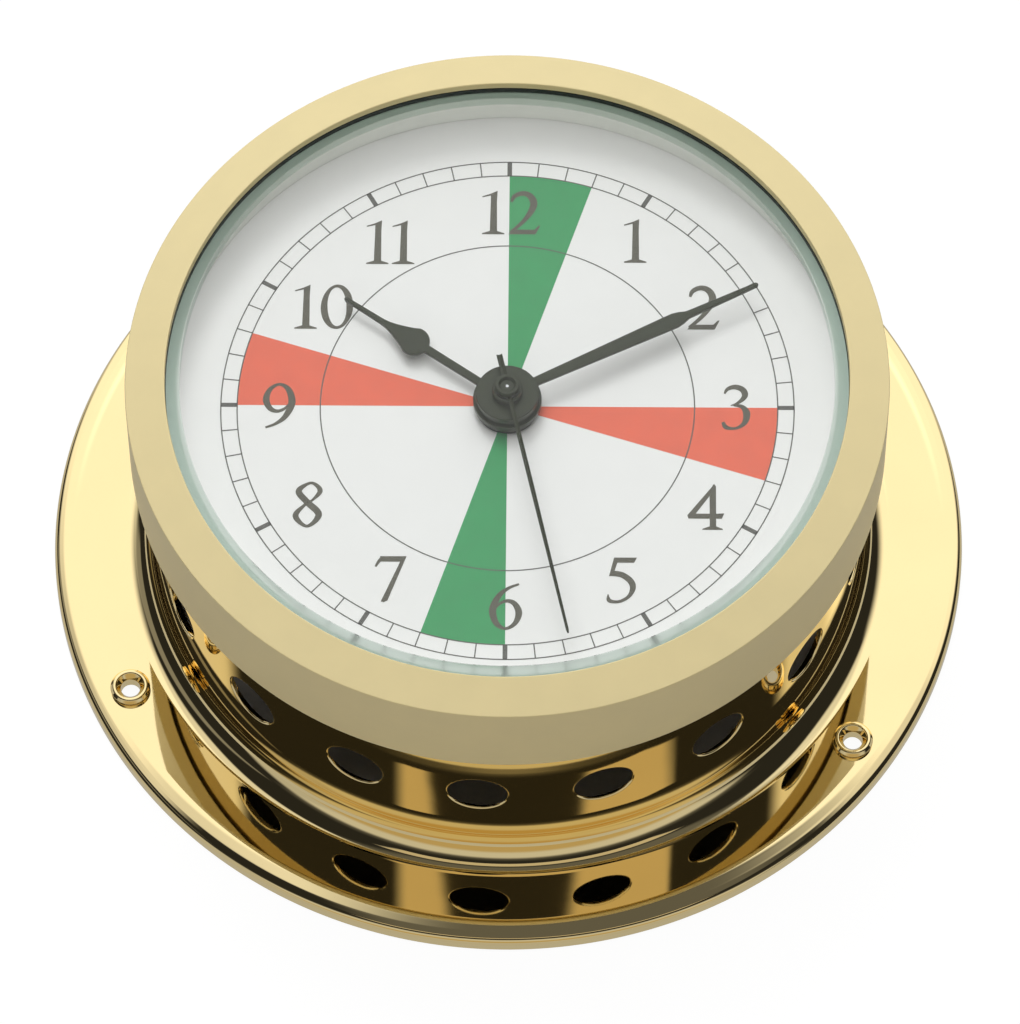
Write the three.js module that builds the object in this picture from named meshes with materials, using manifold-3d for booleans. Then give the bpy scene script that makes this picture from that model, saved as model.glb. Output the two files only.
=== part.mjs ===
// Ships clock: a flanged brass drum with a screwed bezel, a printed dial, three hands
// and a battery quartz movement. Millimetres and degrees.
// The clock lies on its back: +Z comes out through the glass, +Y points to twelve o'clock,
// and the origin is the centre of the plane that the flange rests on.

import * as THREE from "three";
import { mergeVertices } from "three/addons/utils/BufferGeometryUtils.js";
import Module from "manifold-3d";

const wasm = await Module();
wasm.setup();

// Fineness of round surfaces
const ringSides = 48;
const smallSides = 20;
const pinSides = 12;

// Clearances
const seat = 0.05;
const running = 0.06;
const slack = 0.3;

// Glass: its radius sets all the rings round it
const glassRadius = 44.2;
const glassThickness = 2.2;
const glassAir = 0.45;
const bevelWidth = 2.4;
const bevelDrop = 1.875;

// Gasket, a channel round the edge of the glass
const gasketWall = 1.5;
const gasketLipUnder = 0.3;
const gasketInset = 0.05;
const gasketFootInset = 0.3;

// Bezel and its screw thread
const glassCover = 0.55;
const bezelLip = 1.14;
const bezelLipDrop = 0.4;
const bezelFall = 1.16;
const bezelEdgeBreak = 0.25;
const gasketSeatRise = 0.6;
const gasketSeatWidth = 1.4;
const bezelWall = 1.7;
const threadGap = 0.3;
const threadLength = 3.35;

// Case: one drawn sheet, drum and flange
const sheet = 1.2;
const flangeWidth = 13.2;
const flangeTop = 2.5;
const flangeEdgeRound = 0.7;
const coveRadius = 4;
const coveSteps = 5;
const caseTurn = -4.3;

// Vent holes round the drum
const ventCount = 18;
const ventRadius = 3.85;
const ventHeight = 17.9;
const ventSides = 14;

// Screw eyelets in the flange
const eyeletCount = 3;
const eyeletInset = 5.4;
const eyeletBore = 1.55;
const eyeletWall = 0.4;
const eyeletFootWidth = 0.5;
const eyeletTopWidth = 0.15;
const eyeletFootHeight = 0.35;
const eyeletStand = 1;

// Dial, its carrier and the ring above it
const dialTop = 35.3;
const dialSheet = 0.5;
const dialHoleGap = 0.4;
const carrierInset = 0.5;
const carrierSpigotDepth = 2;
const carrierRim = 1.15;

// Battery, lying along X
const batteryRadius = 7.1;
const batteryBody = 48.6;
const batteryNub = 1.3;
const batteryNubRadius = 2.6;
const batteryProud = 0.1;
const contactStrip = 0.35;
const contactWidth = 8;
const contactRoom = 1.85;
const bayGap = 0.4;

// Movement box
const boxWall = 1.2;
const screwLugReach = 6;
const screwLugWidth = 7;
const screwLugThickness = 1.25;
const screwShank = 0.95;
const screwHeadWidth = 0.95;
const screwHeadHeight = 1.2;
const screwBite = 1.9;
const pillarSideInset = 2.8;
const pillarFrontInset = 3;
const pillarBackInset = 3.2;

// Arbors, from the centre outwards
const pivotRadius = 0.5;
const minuteTubeWall = 1;
const hourTubeWall = 1;
const bushingWall = 1.1;
const knobShaft = 1.2;

// Stack of hubs on the dial
const bushingStand = 0.7;
const handGap = 0.3;
const hourHubWidth = 1.9;
const hourHubHeight = 1.1;
const minuteHubWidth = 2.55;
const minuteHubHeight = 1.15;
const nutWidth = 0.45;
const nutHeight = 1.15;
const colletRadius = 1.6;
const colletHeight = 0.9;
const colletWall = 0.6;
const colletFloor = 0.35;
const handSheet = 0.5;
const secondSheet = 0.3;

// Hands: reach from the centre and widths, hub to tip
const hourReach = 25.9;
const hourShaftWidth = 1.05;
const hourTipWidth = 0.55;
const pearCentre = 14.6;
const pearRadius = 2;
const pearTaperEnd = 19.8;
const minuteReach = 36.2;
const minuteRootWidth = 1.15;
const minuteShoulder = 25.4;
const minuteShoulderWidth = 2.1;
const minuteNeck = 28.6;
const minuteNeckWidth = 1;
const minuteTipWidth = 0.65;
const secondReach = 36.5;
const secondTail = 4.5;
const secondRootWidth = 0.5;
const secondBelly = 15;
const secondBellyWidth = 0.8;
const secondTipWidth = 0.4;
const secondTailWidth = 0.8;

// The time shown
const shownHour = 10;
const shownMinute = 10;
const shownSecond = 27.9;

// Toothed wheels: leaves of the pinions and teeth of the wheels
const rotorLeaves = 8;
const stepTeeth = 48;
const stepLeaves = 8;
const secondTeeth = 40;
const secondLeaves = 6;
const thirdTeeth = 45;
const thirdLeaves = 6;
const centreTeeth = 48;
const cannonLeaves = 12;
const minuteTeeth = 36;
const minuteLeaves = 10;
const hourTeeth = 40;
const knobLeaves = 12;

// Tooth sizes (modules) and directions from one axle to the next
const rotorModule = 0.3;
const stepModule = 0.36;
const thirdModule = 0.36;
const motionModule = 0.36;
const stepDirection = 140;
const rotorDirection = 100;
const thirdDirection = 35;
const minuteWheelDirection = -15;
const knobDirection = 10;
const addendum = 0.85;
const dedendum = 1.2;
const toothTip = 0.11;
const toothFoot = 0.3;

// Levels in the movement, each wheel a named gap below the one in front of it
const wheelSheet = 0.8;
const pinionOverlap = 0.12;
const minuteWheelGap = 0.4;
const wheelGap = 0.65;
const stepWheelGap = 0.7;
const clutchHeight = 0.85;
const plateGap = 0.9;
const plateSheet = 0.8;
const pivotDepth = 0.75;

// Stepping motor, circuit and setting knob
const magnetRadius = 2.5;
const magnetHeight = 1.6;
const statorSheet = 0.8;
const statorWeb = 2.4;
const statorGap = 0.5;
const coilRingGap = 0.374;
const coilWallGap = 1.2;
const coilCheek = 0.8;
const coilCheekStand = 0.4;
const coilLength = 20;
const coilBore = 1.3;
const coilAxisX = -9;
const boardWidth = 10.6;
const boardLength = 24;
const boardSheet = 0.8;
const crystalRadius = 1;
const crystalLength = 6;
const knobRadius = 5;
const knobHeight = 2.8;
const knobRibs = 20;
const knobRibDepth = 0.35;

// Radii that follow: rings from the glass outwards
const bevelStart = glassRadius - bevelWidth;
const bezelOpening = glassRadius - glassCover;
const gasketSeatRadius = glassRadius + gasketWall;
const bezelBore = gasketSeatRadius + gasketSeatWidth;
const bezelRadius = bezelBore + bezelWall;
const drumRadius = bezelBore - threadGap;
const flangeRadius = drumRadius + flangeWidth;
const eyeletCircle = flangeRadius - eyeletInset;
const eyeletShank = eyeletBore + eyeletWall;
const eyeletFoot = eyeletShank + eyeletFootWidth;
const eyeletTop = eyeletShank + eyeletTopWidth;
const carrierRadius = drumRadius - carrierInset;
const carrierSpigot = drumRadius - sheet - slack;

// Radii that follow: tubes and hubs from the centre outwards
const minuteTubeRadius = pivotRadius + minuteTubeWall;
const hourTubeRadius = minuteTubeRadius + hourTubeWall;
const bushingRadius = hourTubeRadius + bushingWall;
const dialHole = bushingRadius + dialHoleGap;
const hourHubRadius = hourTubeRadius + hourHubWidth;
const minuteHubRadius = minuteTubeRadius + minuteHubWidth;
const nutRadius = minuteTubeRadius + nutWidth;
const colletCup = colletRadius - colletWall;
const statorRing = magnetRadius + statorGap + statorWeb;
const screwHead = screwShank + screwHeadWidth;

// Movement box round its battery
const boxSide = batteryBody + batteryNub + 2 * (contactRoom + boxWall);
const boxDepth = boxWall + slack + 2 * batteryRadius - batteryProud;
const bayWidth = 2 * batteryRadius + bayGap;
const bayInner = boxSide / 2 - boxWall;
const bayPartition = -bayInner + bayWidth;
const pillarX = bayInner - pillarSideInset;
const pillarFront = bayPartition + boxWall + pillarFrontInset;

// Heights that follow: inside the case
const dialBottom = dialTop - dialSheet;
const carrierTop = dialBottom - seat;
const drumTop = carrierTop - carrierRim - seat;
const boxTop = carrierTop;
const ceiling = boxTop - boxWall;
const boxBottom = boxTop - boxDepth;
const coverTop = boxBottom + boxWall;
const trayEdge = coverTop + seat;
const pivotFloor = coverTop - pivotDepth + seat;
const batteryAxisY = -bayInner + bayWidth / 2;
const batteryAxisZ = ceiling - slack - batteryRadius;

// Heights that follow: hands, glass and bezel above the dial
const bushingTop = dialTop + bushingStand;
const hourHub = bushingTop + handGap;
const minuteHub = hourHub + hourHubHeight + handGap;
const nutFoot = minuteHub + minuteHubHeight + seat;
const minuteTubeTop = nutFoot + nutHeight;
const colletFoot = minuteTubeTop + 2 * seat;
const glassBottom = colletFoot + colletHeight + glassAir;
const glassTop = glassBottom + glassThickness;
const gasketBottom = glassBottom - gasketLipUnder - seat;
const bezelLipUnderside = glassTop - bezelLipDrop;
const bezelCrown = bezelLipUnderside + bezelLip;
const bezelShoulder = bezelCrown - bezelFall;
const bezelSkirt = drumTop - threadLength;
const gasketSeatStep = glassBottom + gasketSeatRise;
const aboveAll = 2 * glassTop;

// Levels that follow, measured down from the inside of the box's front wall
const hourWheelLevel = slack;
const minuteWheelLevel = hourWheelLevel + wheelSheet + minuteWheelGap;
const clutchLevel = minuteWheelLevel + wheelSheet + wheelGap;
const centreWheelLevel = clutchLevel + clutchHeight + seat;
const plateLevel = centreWheelLevel + wheelSheet + plateGap;
const thirdWheelLevel = plateLevel + plateSheet + wheelGap;
const secondWheelLevel = thirdWheelLevel + wheelSheet + wheelGap;
const stepWheelLevel = secondWheelLevel + wheelSheet + stepWheelGap;

const finishes = {
  brass: { color: 0xe3c877, roughness: 0.12, metalness: 1 },
  satinBrass: { color: 0xd9c58c, roughness: 0.38, metalness: 1 },
  glass: { color: 0xe6f0ec, roughness: 0.05, metalness: 0, transparent: true, opacity: 0.3 },
  rubber: { color: 0x151617, roughness: 0.7, metalness: 0 },
  greyRing: { color: 0xc6ccc6, roughness: 0.5, metalness: 0 },
  dialWhite: { color: 0xf1f1ef, roughness: 0.6, metalness: 0 },
  handGrey: { color: 0x6b6d5c, roughness: 0.5, metalness: 0.3 },
  blackPlastic: { color: 0x17181a, roughness: 0.55, metalness: 0 },
  whitePlastic: { color: 0xdedbd0, roughness: 0.5, metalness: 0 },
  steel: { color: 0xb8babd, roughness: 0.3, metalness: 1 },
  iron: { color: 0x6e7073, roughness: 0.5, metalness: 1 },
  copper: { color: 0xb8703d, roughness: 0.4, metalness: 1 },
  board: { color: 0x2c6b40, roughness: 0.6, metalness: 0 },
  cell: { color: 0x3d5f8a, roughness: 0.4, metalness: 0.2 },
};

const clock = new THREE.Group();
const radians = THREE.MathUtils.degToRad;

// Solids

// A closed geometry as a solid that can be cut and joined.
function solidOf(geometry) {
  geometry.deleteAttribute("normal");
  geometry.deleteAttribute("uv");
  const merged = mergeVertices(geometry, 1e-4);
  const mesh = new wasm.Mesh({
    numProp: 3,
    vertProperties: merged.attributes.position.array,
    triVerts: new Uint32Array(merged.index.array),
  });
  return new wasm.Manifold(mesh);
}

// Adds a named mesh to the group, in its finish.
function addPiece(name, solid, finish) {
  const made = solid.getMesh();
  const geometry = new THREE.BufferGeometry();
  geometry.setAttribute("position", new THREE.BufferAttribute(made.vertProperties, 3));
  geometry.setIndex(new THREE.BufferAttribute(made.triVerts, 1));
  geometry.computeVertexNormals();
  const mesh = new THREE.Mesh(geometry, new THREE.MeshStandardMaterial(finishes[finish]));
  mesh.name = name;
  clock.add(mesh);
  return mesh;
}

// A ring or disc turned about Z from [radius, height] points. A ring's outline closes on
// itself; a disc's starts and ends on the axis. Outlines run upwards on their outer side.
function turned(outline, sides = ringSides) {
  const points = outline.map(([radius, height]) => new THREE.Vector2(radius, height));
  if (outline[0][0] > 0) points.push(points[0].clone());
  const geometry = new THREE.LatheGeometry(points, sides);
  geometry.rotateX(Math.PI / 2);
  return solidOf(geometry);
}

// A tube or a rod, by its radii and the heights of its ends.
function tube(outer, inner, low, high, sides = smallSides) {
  if (inner <= 0) return turned([[0, low], [outer, low], [outer, high], [0, high]], sides);
  return turned([[inner, low], [outer, low], [outer, high], [inner, high]], sides);
}

// A box between two corners.
function block(low, high) {
  const size = high.map((value, axis) => value - low[axis]);
  const geometry = new THREE.BoxGeometry(...size);
  geometry.translate(...low.map((value, axis) => value + size[axis] / 2));
  return solidOf(geometry);
}

// A flat plate of the given outline.
function plate(outline, low, high) {
  const shape = new THREE.Shape(outline.map(([x, y]) => new THREE.Vector2(x, y)));
  const geometry = new THREE.ExtrudeGeometry(shape, { depth: high - low, bevelEnabled: false });
  geometry.translate(0, 0, low);
  return solidOf(geometry);
}

function polar(radius, degrees) {
  return [radius * Math.cos(radians(degrees)), radius * Math.sin(radians(degrees))];
}

// Points of an arc between two angles in degrees, ends included.
function arc(centre, radius, from, to, steps) {
  const points = [];
  for (let i = 0; i <= steps; i += 1) {
    const [x, y] = polar(radius, from + ((to - from) * i) / steps);
    points.push([centre[0] + x, centre[1] + y]);
  }
  return points;
}

// Case

// Outline of the drawn sheet, from the rim's resting edge over the flange and up the drum,
// then back down its inside.
function caseOutline() {
  const rimRoundCentre = [flangeRadius - flangeEdgeRound, flangeTop - flangeEdgeRound];
  const coveCentre = [drumRadius + coveRadius, flangeTop + coveRadius];
  const innerCove = coveRadius + sheet;
  const underside = flangeTop - sheet;
  return [
    [flangeRadius, 0],
    ...arc(rimRoundCentre, flangeEdgeRound, 0, 90, 2),
    ...arc(coveCentre, coveRadius, 270, 180, coveSteps),
    [drumRadius, drumTop],
    [drumRadius - sheet, drumTop],
    ...arc(coveCentre, innerCove, 180, 270, coveSteps - 1),
    [flangeRadius - sheet, underside],
    [flangeRadius - sheet, 0],
  ];
}

function ventDrill(index) {
  const drill = new THREE.CylinderGeometry(ventRadius, ventRadius, 4 * sheet, ventSides);
  drill.translate(0, drumRadius, ventHeight);
  drill.rotateZ(radians(caseTurn - (360 * index) / ventCount));
  return solidOf(drill);
}

function eyeletPlace(index) {
  return polar(eyeletCircle, 90 + caseTurn - (360 * index) / eyeletCount);
}

function buildCase() {
  let shell = turned(caseOutline());
  for (let index = 0; index < ventCount; index += 1) {
    shell = shell.subtract(ventDrill(index));
  }
  for (let index = 0; index < eyeletCount; index += 1) {
    const [x, y] = eyeletPlace(index);
    const hole = tube(eyeletShank + seat, 0, -1, flangeTop + 1, ventSides);
    shell = shell.subtract(hole.translate([x, y, 0]));
  }
  addPiece("case_shell", shell, "brass");
}

function buildEyelets() {
  const foot = flangeTop + seat;
  const outline = [
    [eyeletBore, flangeTop - sheet],
    [eyeletShank, flangeTop - sheet],
    [eyeletShank, foot],
    [eyeletFoot, foot],
    [eyeletFoot, foot + eyeletFootHeight],
    [eyeletTop, foot + eyeletStand],
    [eyeletBore, foot + eyeletStand],
  ];
  for (let index = 0; index < eyeletCount; index += 1) {
    const [x, y] = eyeletPlace(index);
    const mesh = addPiece(`mounting_eyelet_${index + 1}`, turned(outline, ventSides), "brass");
    mesh.position.set(x, y, 0);
  }
}

// Front: bezel, gasket, glass and the ring between glass and dial

function buildBezel() {
  const slope = (bezelCrown - bezelShoulder) / (bezelRadius - bezelOpening);
  const outline = [
    [bezelBore, bezelSkirt],
    [bezelRadius, bezelSkirt],
    [bezelRadius, bezelShoulder - bezelEdgeBreak],
    [bezelRadius - bezelEdgeBreak, bezelShoulder + slope * bezelEdgeBreak],
    [bezelOpening, bezelCrown],
    [bezelOpening, bezelLipUnderside],
    [gasketSeatRadius, bezelLipUnderside],
    [gasketSeatRadius, gasketSeatStep],
    [bezelBore, gasketSeatStep],
  ];
  addPiece("bezel", turned(outline), "satinBrass");
}

function buildGlass() {
  const outline = [
    [0, glassBottom],
    [glassRadius, glassBottom],
    [glassRadius, glassTop - bevelDrop],
    [bevelStart, glassTop],
    [0, glassTop],
  ];
  addPiece("glass", turned(outline), "glass");
}

function buildGasket() {
  const lipRadius = bezelOpening - gasketInset;
  const groove = glassRadius + 2 * seat;
  const bevelSlope = bevelDrop / (glassRadius - bevelStart);
  const overBevel = (radius) => glassTop - (radius - bevelStart) * bevelSlope + 2 * seat;
  const outline = [
    [bezelOpening + gasketFootInset, gasketBottom],
    [gasketSeatRadius - seat, gasketBottom],
    [gasketSeatRadius - seat, bezelLipUnderside - seat],
    [lipRadius, bezelLipUnderside - seat],
    [lipRadius, overBevel(lipRadius)],
    [groove, overBevel(glassRadius)],
    [groove, glassBottom - seat],
    [bezelOpening + gasketFootInset, glassBottom - seat],
  ];
  addPiece("glass_gasket", turned(outline), "rubber");
}

function buildSpacer() {
  addPiece("spacer_ring", tube(carrierRadius, bezelOpening, dialTop + seat, gasketBottom - seat, ringSides), "greyRing");
}

// Dial and carrier

function buildDial() {
  addPiece("dial", tube(carrierRadius, dialHole, dialBottom, dialTop, ringSides), "dialWhite");
}

function lugCentre(side) {
  return side * (boxSide / 2 + screwLugReach / 2);
}

function buildCarrier() {
  const spigotBottom = drumTop - carrierSpigotDepth;
  let carrier = turned([
    [0, spigotBottom],
    [carrierSpigot, spigotBottom],
    [carrierSpigot, drumTop + seat],
    [carrierRadius, drumTop + seat],
    [carrierRadius, carrierTop],
    [0, carrierTop],
  ]);
  const opening = boxSide / 2 + slack;
  carrier = carrier.subtract(block([-opening, -opening, 0], [opening, opening, aboveAll]));
  for (const side of [-1, 1]) {
    const hole = tube(screwShank + seat, 0, spigotBottom - 1, spigotBottom + screwBite + 2 * seat, pinSides);
    carrier = carrier.subtract(hole.translate([lugCentre(side), 0, 0]));
  }
  addPiece("movement_holder", carrier, "blackPlastic");
}

// Toothed wheels

// Outline of a wheel whose first tooth points in the given direction.
function toothedOutline(teeth, module, direction) {
  const pitch = 360 / teeth;
  const tip = (teeth * module) / 2 + addendum * module;
  const root = (teeth * module) / 2 - dedendum * module;
  const outline = [];
  for (let tooth = 0; tooth < teeth; tooth += 1) {
    const middle = direction + tooth * pitch;
    outline.push(polar(root, middle - toothFoot * pitch));
    outline.push(polar(tip, middle - toothTip * pitch));
    outline.push(polar(tip, middle + toothTip * pitch));
    outline.push(polar(root, middle + toothFoot * pitch));
  }
  return outline;
}

function toothed(teeth, module, direction, low, high) {
  return plate(toothedOutline(teeth, module, direction), low, high);
}

// Direction of the follower's first tooth, so that it stands in mesh with its driver.
function inMesh(driverTeeth, driverDirection, followerTeeth, line) {
  const phase = ((line - driverDirection) * driverTeeth) / 360;
  return line + 180 - ((0.5 - phase) * 360) / followerTeeth;
}

function meshDistance(teethA, teethB, module) {
  return ((teethA + teethB) * module) / 2;
}

function beyond(from, distance, degrees) {
  const [x, y] = polar(distance, degrees);
  return [from[0] + x, from[1] + y];
}

// Axles, seen from the front, and the modules that close each pair on its distance
const centreAxle = [0, 0];
const stepDistance = meshDistance(stepLeaves, secondTeeth, stepModule);
const stepAxle = beyond(centreAxle, stepDistance, stepDirection);
const rotorDistance = meshDistance(rotorLeaves, stepTeeth, rotorModule);
const rotorAxle = beyond(stepAxle, rotorDistance, rotorDirection);
const thirdDistance = meshDistance(secondLeaves, thirdTeeth, thirdModule);
const thirdAxle = beyond(centreAxle, thirdDistance, thirdDirection);
const centreModule = (2 * thirdDistance) / (thirdLeaves + centreTeeth);
const motionDistance = meshDistance(cannonLeaves, minuteTeeth, motionModule);
const minuteAxle = beyond(centreAxle, motionDistance, minuteWheelDirection);
const hourModule = (2 * motionDistance) / (minuteLeaves + hourTeeth);
const knobAxle = beyond(minuteAxle, meshDistance(minuteTeeth, knobLeaves, motionModule), knobDirection);

// Coil in the room between the ring round the rotor and the box wall, and the pillars by it
const rotorRingEdge = rotorAxle[1] + statorRing;
const coilRoom = bayInner - coilWallGap - rotorRingEdge - coilRingGap;
const coilWinding = (coilRoom - coilCheekStand) / 2;
const coilRadius = coilWinding + coilCheekStand;
const coilAxisY = rotorRingEdge + coilRingGap + coilWinding;
const pillarBack = coilAxisY - coilRadius - pillarBackInset;

// First-tooth directions at rest
const secondWheelTurn = 0;
const secondPinionTurn = 0;
const cannonTurn = 0;
const stepPinionTurn = inMesh(secondTeeth, secondWheelTurn, stepLeaves, stepDirection);
const stepWheelTurn = 0;
const rotorPinionTurn = inMesh(stepTeeth, stepWheelTurn, rotorLeaves, rotorDirection);
const thirdWheelTurn = inMesh(secondLeaves, secondPinionTurn, thirdTeeth, thirdDirection);
const thirdPinionTurn = 0;
const centreWheelTurn = inMesh(thirdLeaves, thirdPinionTurn, centreTeeth, thirdDirection + 180);
const minuteWheelTurn = inMesh(cannonLeaves, cannonTurn, minuteTeeth, minuteWheelDirection);
const minutePinionTurn = 0;
const hourWheelTurn = inMesh(minuteLeaves, minutePinionTurn, hourTeeth, minuteWheelDirection + 180);
const knobPinionTurn = inMesh(minuteTeeth, minuteWheelTurn, knobLeaves, knobDirection);

// Top and bottom of a wheel or of the pinion that meets it
function levels(level) {
  return [ceiling - level - wheelSheet, ceiling - level];
}

function pinionLevels(level) {
  const [low, high] = levels(level);
  return [low - pinionOverlap, high + pinionOverlap];
}

function arbor(low, high, radius = pivotRadius) {
  return tube(radius, 0, low, high, pinSides);
}

function addAt(name, solid, finish, axle) {
  const mesh = addPiece(name, solid, finish);
  mesh.position.set(axle[0], axle[1], 0);
}

const plateTop = ceiling - plateLevel;
const plateBottom = plateTop - plateSheet;
const magnetFoot = pinionLevels(stepWheelLevel)[1] + slack;
const statorBottom = magnetFoot + (magnetHeight - statorSheet) / 2;
const statorTop = statorBottom + statorSheet;
const statorLimb = 2 * coilBore;
const statorEnds = [-1, 1].map((side) => coilAxisX + side * (coilLength / 2 + slack + statorLimb));
const statorPosts = [statorEnds[0] + statorLimb / 2, statorEnds[1] - statorLimb / 2];

function buildRotor() {
  const [pinionLow, pinionHigh] = pinionLevels(stepWheelLevel);
  const solid = toothed(rotorLeaves, rotorModule, rotorPinionTurn, pinionLow, pinionHigh)
    .add(arbor(pivotFloor, plateBottom + pivotDepth - seat))
    .add(tube(magnetRadius, 0, magnetFoot, magnetFoot + magnetHeight));
  addAt("rotor", solid, "iron", rotorAxle);
}

function buildStepWheel() {
  const solid = toothed(stepTeeth, rotorModule, stepWheelTurn, ...levels(stepWheelLevel))
    .add(toothed(stepLeaves, stepModule, stepPinionTurn, ...pinionLevels(secondWheelLevel)))
    .add(arbor(pivotFloor, plateBottom + pivotDepth - seat))
    .add(arbor(levels(stepWheelLevel)[1] - seat, pinionLevels(secondWheelLevel)[0] + seat, 2 * pivotRadius));
  addAt("step_wheel", solid, "whitePlastic", stepAxle);
}

function buildSecondWheel() {
  const wheel = levels(secondWheelLevel);
  const pinion = pinionLevels(thirdWheelLevel);
  const solid = toothed(secondTeeth, stepModule, secondWheelTurn, ...wheel)
    .add(toothed(secondLeaves, thirdModule, secondPinionTurn, ...pinion))
    .add(arbor(wheel[1] - seat, pinion[0] + seat, 2 * pivotRadius))
    .add(arbor(pivotFloor, colletFoot + colletFloor + seat));
  addAt("second_wheel", solid, "steel", centreAxle);
}

function buildThirdWheel() {
  const pinion = pinionLevels(centreWheelLevel);
  const solid = toothed(thirdTeeth, thirdModule, thirdWheelTurn, ...levels(thirdWheelLevel))
    .add(toothed(thirdLeaves, centreModule, thirdPinionTurn, ...pinion))
    .add(arbor(pivotFloor, pinion[1]));
  addAt("third_wheel", solid, "whitePlastic", thirdAxle);
}

function buildCentreWheel() {
  const [low, high] = levels(centreWheelLevel);
  const solid = toothed(centreTeeth, centreModule, centreWheelTurn, low, high)
    .subtract(tube(minuteTubeRadius + running, 0, low - 1, high + 1));
  addAt("center_wheel", solid, "whitePlastic", centreAxle);
}

// A dished washer that presses the centre wheel against its arbor, so that it slips when
// the hands are set.
function buildClutchSpring() {
  const foot = ceiling - clutchLevel - clutchHeight + seat;
  const rise = clutchHeight - 2 * seat;
  const bore = minuteTubeRadius + running;
  const outline = [
    [bore, foot + rise - sheet / 4],
    [2 * minuteTubeRadius, foot],
    [2.2 * minuteTubeRadius, foot],
    [2.2 * minuteTubeRadius, foot + sheet / 4],
    [bore, foot + rise],
  ];
  addPiece("clutch_spring", turned(outline, smallSides), "steel");
}

function buildMinuteArbor() {
  const [low, high] = pinionLevels(minuteWheelLevel);
  const shoulder = ceiling - clutchLevel;
  const solid = toothed(cannonLeaves, motionModule, cannonTurn, low, high)
    .add(tube(1.2 * minuteTubeRadius, 0, shoulder, low + seat))
    .add(tube(1.2 * minuteTubeRadius, 0, plateTop + seat, levels(centreWheelLevel)[0] - seat))
    .add(tube(minuteTubeRadius, 0, plateBottom + seat, minuteTubeTop))
    .subtract(arbor(0, aboveAll, pivotRadius + running));
  addAt("minute_arbor", solid, "steel", centreAxle);
}

function buildMinuteWheel() {
  const [low, high] = levels(minuteWheelLevel);
  const pinionHigh = ceiling - slack / 2;
  const solid = toothed(minuteTeeth, motionModule, minuteWheelTurn, low, high)
    .add(toothed(minuteLeaves, hourModule, minutePinionTurn, high - seat, pinionHigh))
    .subtract(arbor(0, aboveAll, pivotRadius + running));
  addAt("minute_wheel", solid, "whitePlastic", minuteAxle);
}

function buildHourWheel() {
  const [low, high] = levels(hourWheelLevel);
  const solid = toothed(hourTeeth, hourModule, hourWheelTurn, low, high)
    .add(tube(hourTubeRadius, 0, low, hourHub + hourHubHeight + seat))
    .subtract(tube(minuteTubeRadius + running, 0, 0, aboveAll));
  addAt("hour_wheel", solid, "whitePlastic", centreAxle);
}

function buildKnob() {
  const head = [];
  for (let rib = 0; rib < knobRibs; rib += 1) {
    head.push(polar(knobRadius, (360 * rib) / knobRibs));
    head.push(polar(knobRadius - knobRibDepth, (360 * (rib + 0.5)) / knobRibs));
  }
  const headTop = boxBottom - seat;
  const pinion = pinionLevels(minuteWheelLevel);
  const solid = plate(head, headTop - knobHeight, headTop)
    .add(arbor(headTop - seat, ceiling + pivotDepth - seat, knobShaft))
    .add(toothed(knobLeaves, motionModule, knobPinionTurn, ...pinion));
  addAt("setting_knob", solid, "blackPlastic", knobAxle);
}

// Movement box, cover and plate

function drilled(solid, axle, radius, low, high) {
  const drill = tube(radius + running, 0, low, high, radius > 1 ? smallSides : pinSides);
  return solid.subtract(drill.translate([axle[0], axle[1], 0]));
}

function buildBox() {
  const half = boxSide / 2;
  const lugTop = drumTop - carrierSpigotDepth - seat;
  let box = block([-half, -half, trayEdge], [half, half, boxTop]);
  for (const side of [-1, 1]) {
    const inner = side * (half - boxWall / 2);
    const outer = side * (half + screwLugReach);
    const low = [Math.min(inner, outer), -screwLugWidth / 2, lugTop - screwLugThickness];
    const high = [Math.max(inner, outer), screwLugWidth / 2, lugTop];
    box = box.add(block(low, high));
    box = drilled(box, [lugCentre(side), 0], screwShank, 0, lugTop + 1);
  }
  const trainRoom = block([-bayInner, bayPartition + boxWall, 0], [bayInner, bayInner, ceiling]);
  const batteryRoom = block([-bayInner, -bayInner, 0], [bayInner, bayPartition, ceiling]);
  box = box.subtract(trainRoom).subtract(batteryRoom);
  box = box.add(tube(bushingRadius, 0, ceiling + seat, bushingTop));
  box = drilled(box, centreAxle, hourTubeRadius, 0, aboveAll);
  const post = arbor(levels(minuteWheelLevel)[0], ceiling + boxWall / 2);
  box = box.add(post.translate([minuteAxle[0], minuteAxle[1], 0]));
  for (const x of [-pillarX, pillarX]) {
    for (const y of [pillarFront, pillarBack]) {
      box = box.add(arbor(plateTop + seat, ceiling + boxWall / 2, knobShaft).translate([x, y, 0]));
    }
  }
  box = drilled(box, knobAxle, knobShaft, ceiling - 1, ceiling + pivotDepth);
  addPiece("movement_housing", box, "blackPlastic");
}

function buildCover() {
  const half = boxSide / 2;
  const skirtTop = coverTop + boxWall;
  const skirtOuter = bayInner - slack / 2;
  const skirtInner = skirtOuter - boxWall;
  const skirtFront = bayPartition + boxWall + slack / 2;
  let cover = block([-half, bayPartition + seat, boxBottom], [half, half, coverTop]);
  cover = cover.add(block([-skirtOuter, skirtFront, coverTop - seat], [skirtOuter, skirtOuter, skirtTop]));
  const inside = block(
    [-skirtInner, skirtFront + boxWall, coverTop],
    [skirtInner, skirtInner, skirtTop + 1],
  );
  cover = cover.subtract(inside);
  for (const axle of [rotorAxle, stepAxle, centreAxle, thirdAxle]) {
    cover = drilled(cover, axle, pivotRadius, coverTop - pivotDepth, skirtTop);
  }
  cover = drilled(cover, knobAxle, knobShaft, 0, skirtTop);
  addPiece("movement_cover", cover, "blackPlastic");
}

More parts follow.
